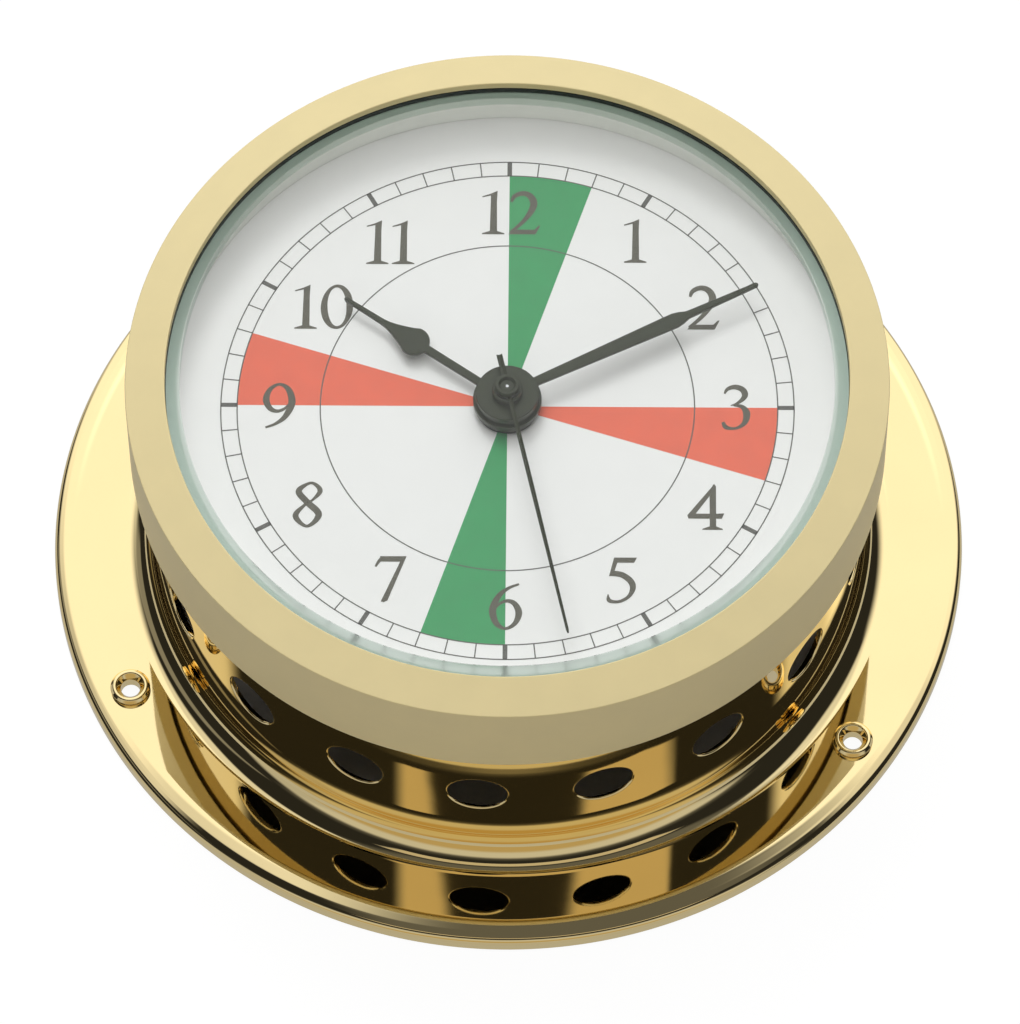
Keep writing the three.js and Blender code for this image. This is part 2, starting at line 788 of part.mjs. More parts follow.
function buildPlate() {
  const side = bayInner - seat;
  const front = bayPartition + boxWall + seat;
  const back = coilAxisY - coilRadius - slack;
  let solid = block([-side, front, plateBottom], [side, back, plateTop]);
  for (const x of statorPosts) {
    const post = arbor(statorTop + seat, plateTop - seat, 2 * pivotRadius);
    solid = solid.add(post.translate([x, rotorAxle[1], 0]));
  }
  solid = drilled(solid, centreAxle, minuteTubeRadius, 0, aboveAll);
  solid = drilled(solid, knobAxle, knobShaft, 0, aboveAll);
  for (const axle of [rotorAxle, stepAxle, thirdAxle]) {
    solid = drilled(solid, axle, pivotRadius, 0, aboveAll);
  }
  addPiece("middle_plate", solid, "whitePlastic");
}

// Motor and circuit

function buildStator() {
  const [x, y] = rotorAxle;
  const [left, right] = statorEnds;
  const low = statorBottom;
  const high = statorTop;
  const back = coilAxisY + statorLimb / 2;
  const core = coilBore * Math.SQRT1_2 - running;
  let solid = tube(statorRing, 0, low, high).translate([x, y, 0]);
  solid = solid
    .add(block([left, y - statorLimb / 2, low], [right, y + statorLimb / 2, high]))
    .add(block([left, y, low], [left + statorLimb, back, high]))
    .add(block([right - statorLimb, y, low], [right, back, high]))
    .add(block([left, coilAxisY - core, low], [right, coilAxisY + core, high]))
    .subtract(tube(magnetRadius + statorGap, 0, 0, aboveAll).translate([x, y, 0]));
  addPiece("stator", solid, "iron");
}

function buildCoil() {
  const half = coilLength / 2;
  const outline = [
    [coilBore, -half],
    [coilRadius, -half],
    [coilRadius, coilCheek - half],
    [coilWinding, coilCheek - half],
    [coilWinding, half - coilCheek],
    [coilRadius, half - coilCheek],
    [coilRadius, half],
    [coilBore, half],
  ];
  const mesh = addPiece("coil", turned(outline, pinSides), "copper");
  mesh.rotation.y = Math.PI / 2;
  mesh.position.set(coilAxisX, coilAxisY, (statorBottom + statorTop) / 2);
}

function buildCircuit() {
  const side = bayInner - slack / 2;
  const front = bayPartition + boxWall + slack / 2;
  const foot = coverTop + boxWall + seat;
  const board = block([-side, front, foot], [boardWidth - side, front + boardLength, foot + boardSheet]);
  addPiece("circuit_board", board, "board");
  const can = addPiece("quartz_can", tube(crystalRadius, 0, 0, crystalLength, pinSides), "steel");
  can.rotation.x = -Math.PI / 2;
  can.position.set(boardWidth / 2 - side, front + boardLength / 4, foot + boardSheet + crystalRadius + seat);
}

// Battery and its contacts

function buildBattery() {
  const foot = -(batteryBody + batteryNub) / 2;
  const shoulder = foot + batteryBody;
  const cell = turned(
    [
      [0, foot],
      [batteryRadius, foot],
      [batteryRadius, shoulder],
      [batteryNubRadius, shoulder],
      [batteryNubRadius, shoulder + batteryNub],
      [0, shoulder + batteryNub],
    ],
    smallSides,
  );
  const mesh = addPiece("battery", cell, "cell");
  mesh.rotation.y = Math.PI / 2;
  mesh.position.set(0, batteryAxisY, batteryAxisZ);
}

// A bowed strip against each end wall of the battery's bay.
function buildContacts() {
  const wallFace = bayInner - seat;
  const cellEnd = (batteryBody + batteryNub) / 2 + 2 * seat;
  const half = contactWidth / 2;
  const outline = [
    [wallFace, -half],
    [wallFace, half],
    [wallFace - contactStrip, half],
    [cellEnd, half / 4],
    [cellEnd, -half / 4],
    [wallFace - contactStrip, -half],
  ];
  const hollow = [
    [wallFace + 1, half / 2],
    [wallFace - contactStrip, half / 2],
    [cellEnd + contactStrip, 0],
    [wallFace - contactStrip, -half / 2],
    [wallFace + 1, -half / 2],
  ];
  const low = batteryAxisZ - contactWidth / 2;
  const high = batteryAxisZ + contactWidth / 2;
  for (const [name, turn] of [["contact_plus", 0], ["contact_minus", Math.PI]]) {
    const strip = plate(outline, low, high).subtract(plate(hollow, low - 1, high + 1));
    const mesh = addPiece(name, strip, "steel");
    mesh.rotation.z = turn;
    mesh.position.set(0, batteryAxisY, 0);
  }
}

function buildScrews() {
  const lugBottom = drumTop - carrierSpigotDepth - seat - screwLugThickness;
  const headTop = lugBottom - seat;
  const tip = drumTop - carrierSpigotDepth + screwBite;
  [-1, 1].forEach((side, index) => {
    const screw = tube(screwHead, 0, headTop - screwHeadHeight, headTop, pinSides)
      .add(arbor(headTop - seat, tip, screwShank));
    addAt(`movement_screw_${index + 1}`, screw, "steel", [lugCentre(side), 0]);
  });
}

// Hands, each built pointing at twelve o'clock

// An outline with the same half widths on both sides of the Y axis.
function mirrored(side) {
  const left = side.map(([x, y]) => [-x, y]).reverse();
  return [...side, ...left];
}

function hourOutline() {
  const shaft = hourShaftWidth / 2;
  const tip = hourTipWidth / 2;
  const entry = THREE.MathUtils.radToDeg(Math.asin(shaft / pearRadius));
  const round = arc([0, pearCentre], pearRadius, entry - 90, 20, 5);
  const taper = pearTaperEnd - pearCentre;
  return mirrored([
    [shaft, 0],
    ...round,
    [0.66 * pearRadius, pearCentre + 0.36 * taper],
    [0.38 * pearRadius, pearCentre + 0.62 * taper],
    [0.7 * shaft, pearTaperEnd],
    [tip, hourReach],
  ]);
}

function minuteOutline() {
  return mirrored([
    [minuteRootWidth / 2, 0],
    [minuteShoulderWidth / 2, minuteShoulder],
    [minuteNeckWidth / 2, minuteNeck],
    [minuteTipWidth / 2, minuteReach],
  ]);
}

function secondOutline() {
  return mirrored([
    [secondTailWidth / 2, -secondTail],
    [secondTailWidth / 2, -colletRadius],
    [secondRootWidth / 2, colletRadius],
    [secondBellyWidth / 2, secondBelly],
    [secondTipWidth / 2, secondReach],
  ]);
}

function buildHands() {
  const secondTurns = shownSecond / 60;
  const minuteTurns = (shownMinute + secondTurns) / 60;
  const hourTurns = (shownHour + minuteTurns) / 12;

  const hourTop = hourHub + hourHubHeight;
  const hourHand = plate(hourOutline(), hourTop - handSheet, hourTop)
    .add(tube(hourHubRadius, 0, hourHub, hourTop))
    .subtract(tube(hourTubeRadius + seat, 0, 0, aboveAll));
  addPiece("hour_hand", hourHand, "handGrey").rotation.z = -2 * Math.PI * hourTurns;

  const armFoot = minuteHub + minuteHubHeight / 2;
  const minuteHand = plate(minuteOutline(), armFoot, armFoot + handSheet)
    .add(tube(minuteHubRadius, 0, minuteHub, minuteHub + minuteHubHeight))
    .subtract(tube(minuteTubeRadius + seat, 0, 0, aboveAll));
  addPiece("minute_hand", minuteHand, "handGrey").rotation.z = -2 * Math.PI * minuteTurns;

  const nut = tube(nutRadius, minuteTubeRadius + seat, nutFoot, nutFoot + nutHeight);
  addPiece("minute_hand_nut", nut, "handGrey");

  const secondHand = plate(secondOutline(), colletFoot, colletFoot + secondSheet)
    .add(tube(colletRadius, 0, colletFoot, colletFoot + colletHeight))
    .subtract(tube(colletCup, 0, colletFoot + colletFloor, aboveAll))
    .subtract(arbor(0, aboveAll, pivotRadius + seat));
  addPiece("second_hand", secondHand, "handGrey").rotation.z = -2 * Math.PI * secondTurns;
}

// The whole clock

buildCase();
buildEyelets();
buildBezel();
buildGlass();
buildGasket();
buildSpacer();
buildDial();
buildCarrier();
buildBox();
buildCover();
buildPlate();
buildRotor();
buildStepWheel();
buildSecondWheel();
buildThirdWheel();
buildCentreWheel();
buildClutchSpring();
buildMinuteArbor();
buildMinuteWheel();
buildHourWheel();
buildKnob();
buildStator();
buildCoil();
buildCircuit();
buildBattery();
buildContacts();
buildScrews();
buildHands();

export default clock;
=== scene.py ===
"""Looks of the ships clock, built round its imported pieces.

Lengths are millimetres, and metres where a name ends in _m. The frame is the part's own:
+Z comes out through the glass, +Y points to twelve o'clock, and the floor is z = 0.
"""

import math

import bpy
from mathutils import Matrix, Vector


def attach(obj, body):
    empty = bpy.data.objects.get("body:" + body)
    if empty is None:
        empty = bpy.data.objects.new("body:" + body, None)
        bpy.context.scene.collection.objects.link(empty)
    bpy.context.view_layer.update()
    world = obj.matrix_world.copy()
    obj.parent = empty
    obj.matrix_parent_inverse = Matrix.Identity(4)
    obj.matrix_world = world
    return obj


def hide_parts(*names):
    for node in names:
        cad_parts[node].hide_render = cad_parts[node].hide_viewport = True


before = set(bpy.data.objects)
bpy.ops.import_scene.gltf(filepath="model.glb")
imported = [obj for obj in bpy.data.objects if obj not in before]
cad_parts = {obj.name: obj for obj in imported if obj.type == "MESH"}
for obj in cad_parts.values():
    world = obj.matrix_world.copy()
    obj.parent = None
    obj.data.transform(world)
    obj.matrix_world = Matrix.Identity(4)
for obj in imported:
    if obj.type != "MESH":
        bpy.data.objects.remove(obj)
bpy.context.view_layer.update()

# Units and fineness of the meshes
MM = 0.001
UP = Vector((0, 0, 1))
POINTS_PER_MM = 2000
NORMALS_PER_UNIT = 200
SIDES = 288
FINE = 96
PATCH_STEPS = 16
PEN_STEPS = 8

# Case, its slopes and turn in degrees
DRUM = 46.8
SHEET = 1.2
CASE_TOP = 33.55
COVE = 4
FLANGE = 60
FLANGE_TOP = 2.5
BORDER = 57.3
BORDER_SLOPE = 8
ROLL = 58.7
ROLL_SLOPE = 16
CASE_TURN = -4.3

# Vents in the drum, wider behind so that their sheet looks thin
VENTS = 18
VENT_RADIUS = 3.85
VENT_EDGE = 0.25
VENT_BEHIND = 5.3
VENT_HEIGHT = 17.9
VENT_PATCH = 5.5

# Screw holes in the flange and their eyelets
SCREWS = 3
SCREW_HOLE = 2.0
SCREW_EDGE = 0.05
EYELET_CIRCLE = 54.6
EYELET_BORE = 1.25
EYELET_NECK = 1.95
EYELET_TOP = 3.55
EYELET_PATCH_IN = 2.3
EYELET_PATCH_OUT = 2.1

# Radii of bezel, gasket and glass
BEZEL = 48.8
BEZEL_THREAD = 47.1
BEZEL_SEAT = 45.7
BEZEL_MOUTH = 43.65
GASKET_BORE = 43.95
GLASS_RIM = 44.2
GLASS_BEVEL = 41.8
SEAT_GAP = 0.05

# Heights of bezel, glass and spacer
BEZEL_FOOT = 30.2
BEZEL_BROW = 43.24
BEZEL_TOP = 44.44
SEAT_FOOT = 42.1
SEAT_TOP = 43.3
GLASS_FOOT = 41.5
GLASS_RIM_TOP = 41.825
GLASS_TOP = 43.7
SPACER_FOOT = 35.35
SPACER_TOP = 41.1

# Dial and its print, with the height of each layer above the dial
DIAL_FOOT = 34.8
DIAL_TOP = 35.3
DIAL_RADIUS = 46.3
DIAL_HOLE = 4.0
TRACK = 36.8
TRACK_INNER = 0.943 * TRACK
MIDDLE_RING = 0.653 * TRACK
FIELD_DEGREES = 18
LINE_HALF = 0.08
MARK_HALF = 0.3
FIELD_LAYER = 0.01
LINE_LAYER = 0.02
NUMERAL_LAYER = 0.03
DIGIT_GAP = 0.45
DIGIT_HALF = 3.3

# Hands
HAND_EDGE = 0.07
HAND_ROOT = 3.2
SECOND_FOOT = 40.15
SECOND_EDGE = 40.42

# Time shown, in turns of each hand
SECOND_TURN = 27.9 / 60
MINUTE_TURN = (10 + SECOND_TURN) / 60
HOUR_TURN = (10 + MINUTE_TURN) / 12


# Surfaces


class Shell:
    """A surface collected face by face, with the exact normal at each corner."""

    def __init__(self):
        self.index = {}
        self.points = []
        self.normals = []
        self.faces = []

    def corner(self, point, normal):
        """The index of a corner, shared with one so near and so alike that they round the same."""
        key = (*(round(v * POINTS_PER_MM) for v in point), *(round(v * NORMALS_PER_UNIT) for v in normal))
        if key not in self.index:
            self.index[key] = len(self.points)
            self.points.append([v * MM for v in point])
            self.normals.append(normal)
        return self.index[key]

    def face(self, *corners):
        ring = list(dict.fromkeys(self.corner(*corner) for corner in corners))
        if len(ring) > 2:
            self.faces.append(ring)

    def flat(self, *points):
        """One flat face, its corners counter-clockwise seen from outside."""
        normal = Vector((0, 0, 0))
        for a, b in zip(points, points[1:] + points[:1]):
            normal += Vector(a).cross(Vector(b))
        self.face(*((point, tuple(normal.normalized())) for point in points))

    def band(self, lower, upper):
        """Faces between two closed rings of corners."""
        for i in range(len(lower)):
            self.face(lower[i - 1], lower[i], upper[i], upper[i - 1])

    def build(self, name, body, material, slot, replaces=()):
        """The surface as a piece of the scene that rides on a body of the frame."""
        mesh = bpy.data.meshes.new(name)
        mesh.from_pydata(self.points, [], self.faces)
        mesh.shade_smooth()
        mesh.normals_split_custom_set_from_vertices(self.normals)
        mesh.materials.append(material)
        piece = bpy.data.objects.new(name, mesh)
        bpy.context.collection.objects.link(piece)
        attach(piece, body)
        if replaces:
            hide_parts(*replaces)
        return piece


def arc_step(bend):
    """Degrees between the rows of a round, fewer where it is wide."""
    if bend <= 2:
        return 22
    if bend <= 6:
        return 9
    return 1


def rounded(corners, closed=True):
    """Rows (radius, height, normal) along an outline of (radius, height, round) corners.

    The outline runs with the material on its left, so up on its outer side.
    """
    straight = 1e-6
    rows = []
    count = len(corners)
    for i, (r, z, bend) in enumerate(corners):
        ways = []
        for a, b, real in ((corners[i - 1], (r, z), closed or i > 0),
                           ((r, z), corners[(i + 1) % count], closed or i < count - 1)):
            if real:
                length = math.hypot(b[0] - a[0], b[1] - a[1])
                ways.append(((b[0] - a[0]) / length, (b[1] - a[1]) / length))
        if len(ways) == 1:
            rows.append((r, z, ways[0][1], -ways[0][0]))
            continue
        (ar, az), (br, bz) = ways
        turn = math.atan2(ar * bz - az * br, ar * br + az * bz)
        if bend == 0 or abs(turn) < straight:
            rows.append((r, z, az, -ar))
            if abs(turn) > straight:
                rows.append((r, z, bz, -br))
            continue
        side = math.copysign(1, turn)
        cut = bend * math.tan(abs(turn) / 2)
        centre = (r - cut * ar - side * bend * az, z - cut * az + side * bend * ar)
        steps = max(3, math.ceil(abs(math.degrees(turn)) / arc_step(bend)))
        for k in range(steps + 1):
            angle = turn * k / steps
            nr = az * math.cos(angle) + ar * math.sin(angle)
            nz = -ar * math.cos(angle) + az * math.sin(angle)
            rows.append((centre[0] + side * bend * nr, centre[1] + side * bend * nz, nr, nz))
    return rows + rows[:1] if closed else rows


def spun(row, degrees):
    """The point and normal of a row, turned about Z."""
    r, z, nr, nz = row
    c, s = math.cos(math.radians(degrees)), math.sin(math.radians(degrees))
    return (r * c, r * s, z), (nr * c, nr * s, nz)


def lathe(rows, sides=SIDES, start=0.0, shell=None, skip=None):
    """The outline's rows turned about Z."""
    shell = shell or Shell()
    for low, high in zip(rows, rows[1:]):
        if low[:2] == high[:2]:
            continue
        for j in range(sides):
            if skip and skip(low, high, j):
                continue
            a, b = start + 360 * j / sides, start + 360 * (j + 1) / sides
            shell.face(spun(low, a), spun(low, b), spun(high, b), spun(high, a))
    return shell


def slab(shell, outline, low, high, edge=0.0):
    """A flat plate with its upper edge broken. The outline runs counter-clockwise."""
    count = len(outline)
    bluntest = 0.35
    inset = []
    for i, (x, y) in enumerate(outline):
        a = Vector((x - outline[i - 1][0], y - outline[i - 1][1])).normalized()
        b = Vector((outline[(i + 1) % count][0] - x, outline[(i + 1) % count][1] - y)).normalized()
        inward = Vector((-a.y - b.y, a.x + b.x)).normalized()
        reach = edge / max(bluntest, inward.dot(Vector((-a.y, a.x))))
        inset.append((x + reach * inward.x, y + reach * inward.y))
    for i in range(count):
        j = (i + 1) % count
        (ax, ay), (bx, by) = outline[i], outline[j]
        shell.flat((ax, ay, low), (bx, by, low), (bx, by, high - edge), (ax, ay, high - edge))
        if edge:
            shell.flat((ax, ay, high - edge), (bx, by, high - edge), (*inset[j], high), (*inset[i], high))
    shell.flat(*((x, y, high) for x, y in inset))
    shell.flat(*((x, y, low) for x, y in reversed(outline)))


def turned_to(piece, turns):
    """Turns a hand's mesh clockwise from twelve o'clock."""
    piece.data.transform(Matrix.Rotation(-2 * math.pi * turns, 4, "Z"))


# Materials


def calculator(tree):
    """A function that adds maths nodes to a node tree and gives their result."""

    def calculate(operation, *values):
        node = tree.nodes.new("ShaderNodeMath")
        node.operation = operation
        for socket, value in zip(node.inputs, values):
            if isinstance(value, (int, float)):
                socket.default_value = value
            else:
                tree.links.new(value, socket)
        return node.outputs[0]

    return calculate


def finish(name, colour, rough, metallic=0.0, spread=0.05, grain=300.0, bump=0.0, rough_spread=0.15,
           bump_grain=None, **sockets):
    """A procedural material: its colour, gloss and surface vary a little over the piece."""
    material = bpy.data.materials.new(name)
    material.use_nodes = True
    nodes, links = material.node_tree.nodes, material.node_tree.links
    shader = nodes["Principled BSDF"]
    place = nodes.new("ShaderNodeTexCoord")
    noise = nodes.new("ShaderNodeTexNoise")
    noise.inputs["Scale"].default_value = grain
    noise.inputs["Detail"].default_value = 4
    links.new(place.outputs["Object"], noise.inputs["Vector"])
    ramp = nodes.new("ShaderNodeValToRGB")
    for element, share in zip(ramp.color_ramp.elements, (1 - spread, 1 + spread)):
        element.color = (*(min(1, c * share) for c in colour), 1)
    ramp.color_ramp.elements[0].position = 0.3
    ramp.color_ramp.elements[1].position = 0.7
    links.new(noise.outputs["Fac"], ramp.inputs["Fac"])
    links.new(ramp.outputs["Color"], shader.inputs["Base Color"])
    gloss = nodes.new("ShaderNodeMapRange")
    gloss.inputs["To Min"].default_value = rough * (1 - rough_spread)
    gloss.inputs["To Max"].default_value = rough * (1 + rough_spread)
    links.new(noise.outputs["Fac"], gloss.inputs["Value"])
    links.new(gloss.outputs["Result"], shader.inputs["Roughness"])
    shader.inputs["Metallic"].default_value = metallic
    for socket, value in sockets.items():
        shader.inputs[socket.replace("_", " ")].default_value = value
    if bump:
        relief = nodes.new("ShaderNodeTexNoise")
        relief.inputs["Scale"].default_value = bump_grain or grain * 4
        relief.inputs["Detail"].default_value = 3
        links.new(place.outputs["Object"], relief.inputs["Vector"])
        node = nodes.new("ShaderNodeBump")
        node.inputs["Strength"].default_value = 1
        node.inputs["Distance"].default_value = bump * MM
        links.new(relief.outputs["Fac"], node.inputs["Height"])
        links.new(node.outputs["Normal"], shader.inputs["Normal"])
    return material


brass = finish("polished_brass", (0.95, 0.775, 0.41), 0.03, 1, spread=0.02, grain=60, bump=0.002,
               bump_grain=90)
satin = finish("satin_brass", (0.725, 0.612, 0.325), 0.42, 0.2, spread=0.02, grain=200, bump=0.002,
               bump_grain=2500)
rubber = finish("black_rubber", (0.012, 0.016, 0.015), 0.45, grain=900, bump=0.01)
grey = finish("grey_plastic", (0.82, 0.85, 0.81), 0.5, spread=0.02, grain=500, bump=0.004)
dial_white = finish("dial_paint", (0.85, 0.85, 0.845), 0.55, spread=0.008, grain=250, bump=0.001)
ink = finish("dial_ink", (0.11, 0.106, 0.082), 0.6, spread=0.12, grain=900)
line_ink = finish("line_ink", (0.115, 0.115, 0.105), 0.6, spread=0.12, grain=900)
green = finish("green_ink", (0.045, 0.32, 0.115), 0.55, spread=0.05, grain=400)
red = finish("red_ink", (0.80, 0.15, 0.085), 0.55, spread=0.04, grain=400)
hand_paint = finish("hand_paint", (0.024, 0.030, 0.012), 0.22, spread=0.1, grain=700, bump=0.003,
                    Specular_IOR_Level=0.3)
black_plastic = finish("black_plastic", (0.018, 0.018, 0.02), 0.45, spread=0.1, grain=700, bump=0.012)
white_plastic = finish("white_plastic", (0.72, 0.70, 0.64), 0.4, grain=400, bump=0.003)
steel = finish("steel", (0.62, 0.63, 0.65), 0.28, 1, grain=400, bump=0.002)
iron = finish("iron", (0.28, 0.29, 0.30), 0.45, 1, grain=500, bump=0.004)
magnet = finish("magnet", (0.16, 0.16, 0.17), 0.5, 0.6, grain=600, bump=0.004)
copper = finish("copper", (0.72, 0.36, 0.18), 0.35, 1, grain=1500, bump=0.01, bump_grain=5000)
board = finish("circuit_board", (0.02, 0.13, 0.05), 0.45, spread=0.2, grain=900, bump=0.004)
sleeve = finish("battery_sleeve", (0.05, 0.13, 0.30), 0.35, spread=0.06, grain=300, Coat_Weight=0.4)


def clear_glass():
    """Clear glass that lets light straight through, rough and greenish on its ground bevel."""
    ground_rough = 0.32
    material = bpy.data.materials.new("glass")
    material.use_nodes = True
    nodes, links = material.node_tree.nodes, material.node_tree.links
    shader = nodes["Principled BSDF"]
    shader.inputs["Transmission Weight"].default_value = 1
    shader.inputs["IOR"].default_value = 1.34
    place = nodes.new("ShaderNodeTexCoord")
    flat = nodes.new("ShaderNodeVectorMath")
    flat.operation = "MULTIPLY"
    flat.inputs[1].default_value = (1, 1, 0)
    links.new(place.outputs["Object"], flat.inputs[0])
    away = nodes.new("ShaderNodeVectorMath")
    away.operation = "LENGTH"
    links.new(flat.outputs[0], away.inputs[0])
    ground = nodes.new("ShaderNodeMapRange")
    ground.inputs["From Min"].default_value = (GLASS_BEVEL - 0.05) * MM
    ground.inputs["From Max"].default_value = (GLASS_BEVEL + 0.1) * MM
    ground.inputs["To Max"].default_value = ground_rough
    links.new(away.outputs["Value"], ground.inputs["Value"])
    links.new(ground.outputs["Result"], shader.inputs["Roughness"])
    tint = nodes.new("ShaderNodeValToRGB")
    tint.color_ramp.elements[0].color = (0.99, 1.0, 0.995, 1)
    tint.color_ramp.elements[1].color = (0.50, 0.62, 0.55, 1)
    tint.color_ramp.elements[1].position = ground_rough
    links.new(ground.outputs["Result"], tint.inputs["Fac"])
    links.new(tint.outputs["Color"], shader.inputs["Base Color"])
    path = nodes.new("ShaderNodeLightPath")
    calculate = calculator(material.node_tree)
    unlit = calculate("MAXIMUM", path.outputs["Is Shadow Ray"], path.outputs["Is Diffuse Ray"])
    through = nodes.new("ShaderNodeBsdfTransparent")
    through.inputs["Color"].default_value = (0.96, 0.965, 0.96, 1)
    mix = nodes.new("ShaderNodeMixShader")
    links.new(unlit, mix.inputs[0])
    links.new(shader.outputs[0], mix.inputs[1])
    links.new(through.outputs[0], mix.inputs[2])
    links.new(mix.outputs[0], nodes["Material Output"].inputs["Surface"])
    return material


glass = clear_glass()


# Case


def pierced(shell, outer, inner, axis, across, along, rims, radius, edge, behind_radius):
    """A patch of sheet with a round hole in it.

    outer and inner give the point and normal of the two faces at (u, v) from the hole's centre,
    along across and along, and rims holds the patch's border on each face. A border starts at
    its lower left corner, so the middle of its lower side stands straight below the hole.
    """
    count = len(rims[0])
    below = PATCH_STEPS // 2
    angles = [math.radians(-90 + (i - below) * 360 / count) for i in range(count)]
    dirs = [(math.cos(t), math.sin(t)) for t in angles]
    wide = radius + edge
    middle = [outer((u + wide * c) / 2, (v + wide * s) / 2) for (u, v), (c, s) in zip(rims[0], dirs)]
    shell.band([outer(u, v) for u, v in rims[0]], middle)
    last = middle
    for tilt in (0, 30, 60, 90):
        sin, cos = math.sin(math.radians(tilt)), math.cos(math.radians(tilt))
        ring = []
        for c, s in dirs:
            reach = radius + edge * (1 - sin)
            point, normal = outer(reach * c, reach * s)
            inward = -(across * c + along * s)
            ring.append((tuple(Vector(point) - axis * edge * (1 - cos)),
                         tuple((Vector(normal) * cos + inward * sin).normalized())))
        shell.band(last, ring)
        last = ring
    bore = []
    behind = []
    for c, s in dirs:
        point, normal = inner(behind_radius * c, behind_radius * s)
        bore.append((point, tuple(-(across * c + along * s))))
        behind.append((point, normal))
    shell.band(last, bore)
    shell.band(behind, [inner(u, v) for u, v in rims[1]])


def border(low, high, half, radius_low, radius_high, place, rows):
    """The border of a patch between two heights or radii, counter-clockwise."""

    def at(share, degrees):
        radius = radius_low + (radius_high - radius_low) * share
        return place(radius, degrees, low + (high - low) * share)

    steps = [-half + 2 * half * j / PATCH_STEPS for j in range(PATCH_STEPS + 1)]
    shares = [k / rows for k in range(1, rows)]
    return ([at(0, degrees) for degrees in steps] + [at(share, half) for share in shares]
            + [at(1, -degrees) for degrees in steps] + [at(1 - share, -half) for share in shares])


def wall_face(out, aside, radius, sign):
    """One face of the drum's wall, by (u, v) from a vent's centre."""

    def at(u, v):
        side = out * math.sqrt(radius * radius - u * u) + aside * u
        return tuple(side + UP * (VENT_HEIGHT + v)), tuple(side * (sign / radius))

    return at


def on_wall(radius, degrees, height):
    """(u, v) of a point of the wall, from a vent's centre."""
    return radius * math.sin(math.radians(degrees)), height - VENT_HEIGHT


def flange_face(out, aside, height, sign):
    """One face of the flange, by (u, v) from a screw hole's centre."""

    def at(u, v):
        return tuple(out * (EYELET_CIRCLE - v) + aside * u + UP * height), (0, 0, sign)

    return at


def on_flange(radius, degrees, _):
    """(u, v) of a point of the flange, from a screw hole's centre."""
    turn = math.radians(degrees)
    return radius * math.sin(turn), EYELET_CIRCLE - radius * math.cos(turn)


def build_eyelet(number, out):
    """A turned eyelet in the screw hole that lies in the direction out."""
    foot = FLANGE_TOP - SHEET
    seat = FLANGE_TOP + 0.02
    eyelet = lathe(rounded([
        (EYELET_BORE, foot, 0.0),
        (EYELET_NECK, foot, 0.0),
        (EYELET_NECK, seat, 0.0),
        (2.5, seat, 0.15),
        (2.62, 3.1, 0.2),
        (2.25, EYELET_TOP, 0.3),
        (1.85, EYELET_TOP, 0.25),
        (EYELET_BORE, 2.75, 0.3),
    ]), sides=FINE)
    piece = eyelet.build(f"eyelet_{number}", "case", brass, "polished_brass",
                         [f"mounting_eyelet_{number}"])
    piece.data.transform(Matrix.Translation(out * EYELET_CIRCLE * MM))


def build_case():
    low, high = VENT_HEIGHT - VENT_PATCH, VENT_HEIGHT + VENT_PATCH
    near, far = EYELET_CIRCLE - EYELET_PATCH_IN, EYELET_CIRCLE + EYELET_PATCH_OUT
    under = FLANGE_TOP - SHEET
    inside = DRUM - SHEET
    lip = FLANGE - SHEET
    roll_top = FLANGE_TOP - (ROLL - BORDER) * math.tan(math.radians(BORDER_SLOPE))
    rim_top = roll_top - (FLANGE - ROLL) * math.tan(math.radians(ROLL_SLOPE))
    rows = rounded([
        (FLANGE, 0, 0.15),
        (FLANGE, rim_top, 1.0),
        (ROLL, roll_top, 3),
        (BORDER, FLANGE_TOP, 8),
        (far, FLANGE_TOP, 0),
        (near, FLANGE_TOP, 0),
        (DRUM, FLANGE_TOP, COVE),
        (DRUM, low, 0),
        (DRUM, high, 0),
        (DRUM, CASE_TOP, 0.2),
        (inside, CASE_TOP, 0.2),
        (inside, high, 0),
        (inside, low, 0),
        (inside, under, COVE + SHEET),
        (near, under, 0),
        (far, under, 0),
        (lip, under, 0.3),
        (lip, 0, 0.15),
    ])
    sector = 360 / VENTS
    first = 90 + CASE_TURN
    columns = SIDES // VENTS
    between_screws = VENTS // SCREWS
    walls = {(low, high), (high, low)}
    flats = {(far, near), (near, far)}

    def skip(a, b, j):
        """Leaves out the sheet where the patches with holes go."""
        if (a[1], b[1]) in walls:
            return True
        return (a[0], b[0]) in flats and (j // columns) % between_screws == 0

    shell = lathe(rows, start=first - sector / 2, skip=skip)
    half = sector / 2
    for k in range(VENTS):
        angle = math.radians(first - sector * k)
        out = Vector((math.cos(angle), math.sin(angle), 0))
        aside = Vector((-math.sin(angle), math.cos(angle), 0))
        rims = [border(low, high, half, radius, radius, on_wall, 8) for radius in (DRUM, inside)]
        outer = wall_face(out, aside, DRUM, 1)
        inner = wall_face(out, aside, inside, -1)
        pierced(shell, outer, inner, out, aside, UP, rims, VENT_RADIUS, VENT_EDGE, VENT_BEHIND)
        if k % between_screws:
            continue
        rim = border(0, 0, half, far, near, on_flange, 1)
        outer = flange_face(out, aside, FLANGE_TOP, 1)
        inner = flange_face(out, aside, under, -1)
        pierced(shell, outer, inner, UP, aside, -out, [rim, rim], SCREW_HOLE, SCREW_EDGE, SCREW_HOLE)
        build_eyelet(k // between_screws + 1, out)
    shell.build("case", "case", brass, "polished_brass", ["case_shell"])


# Front


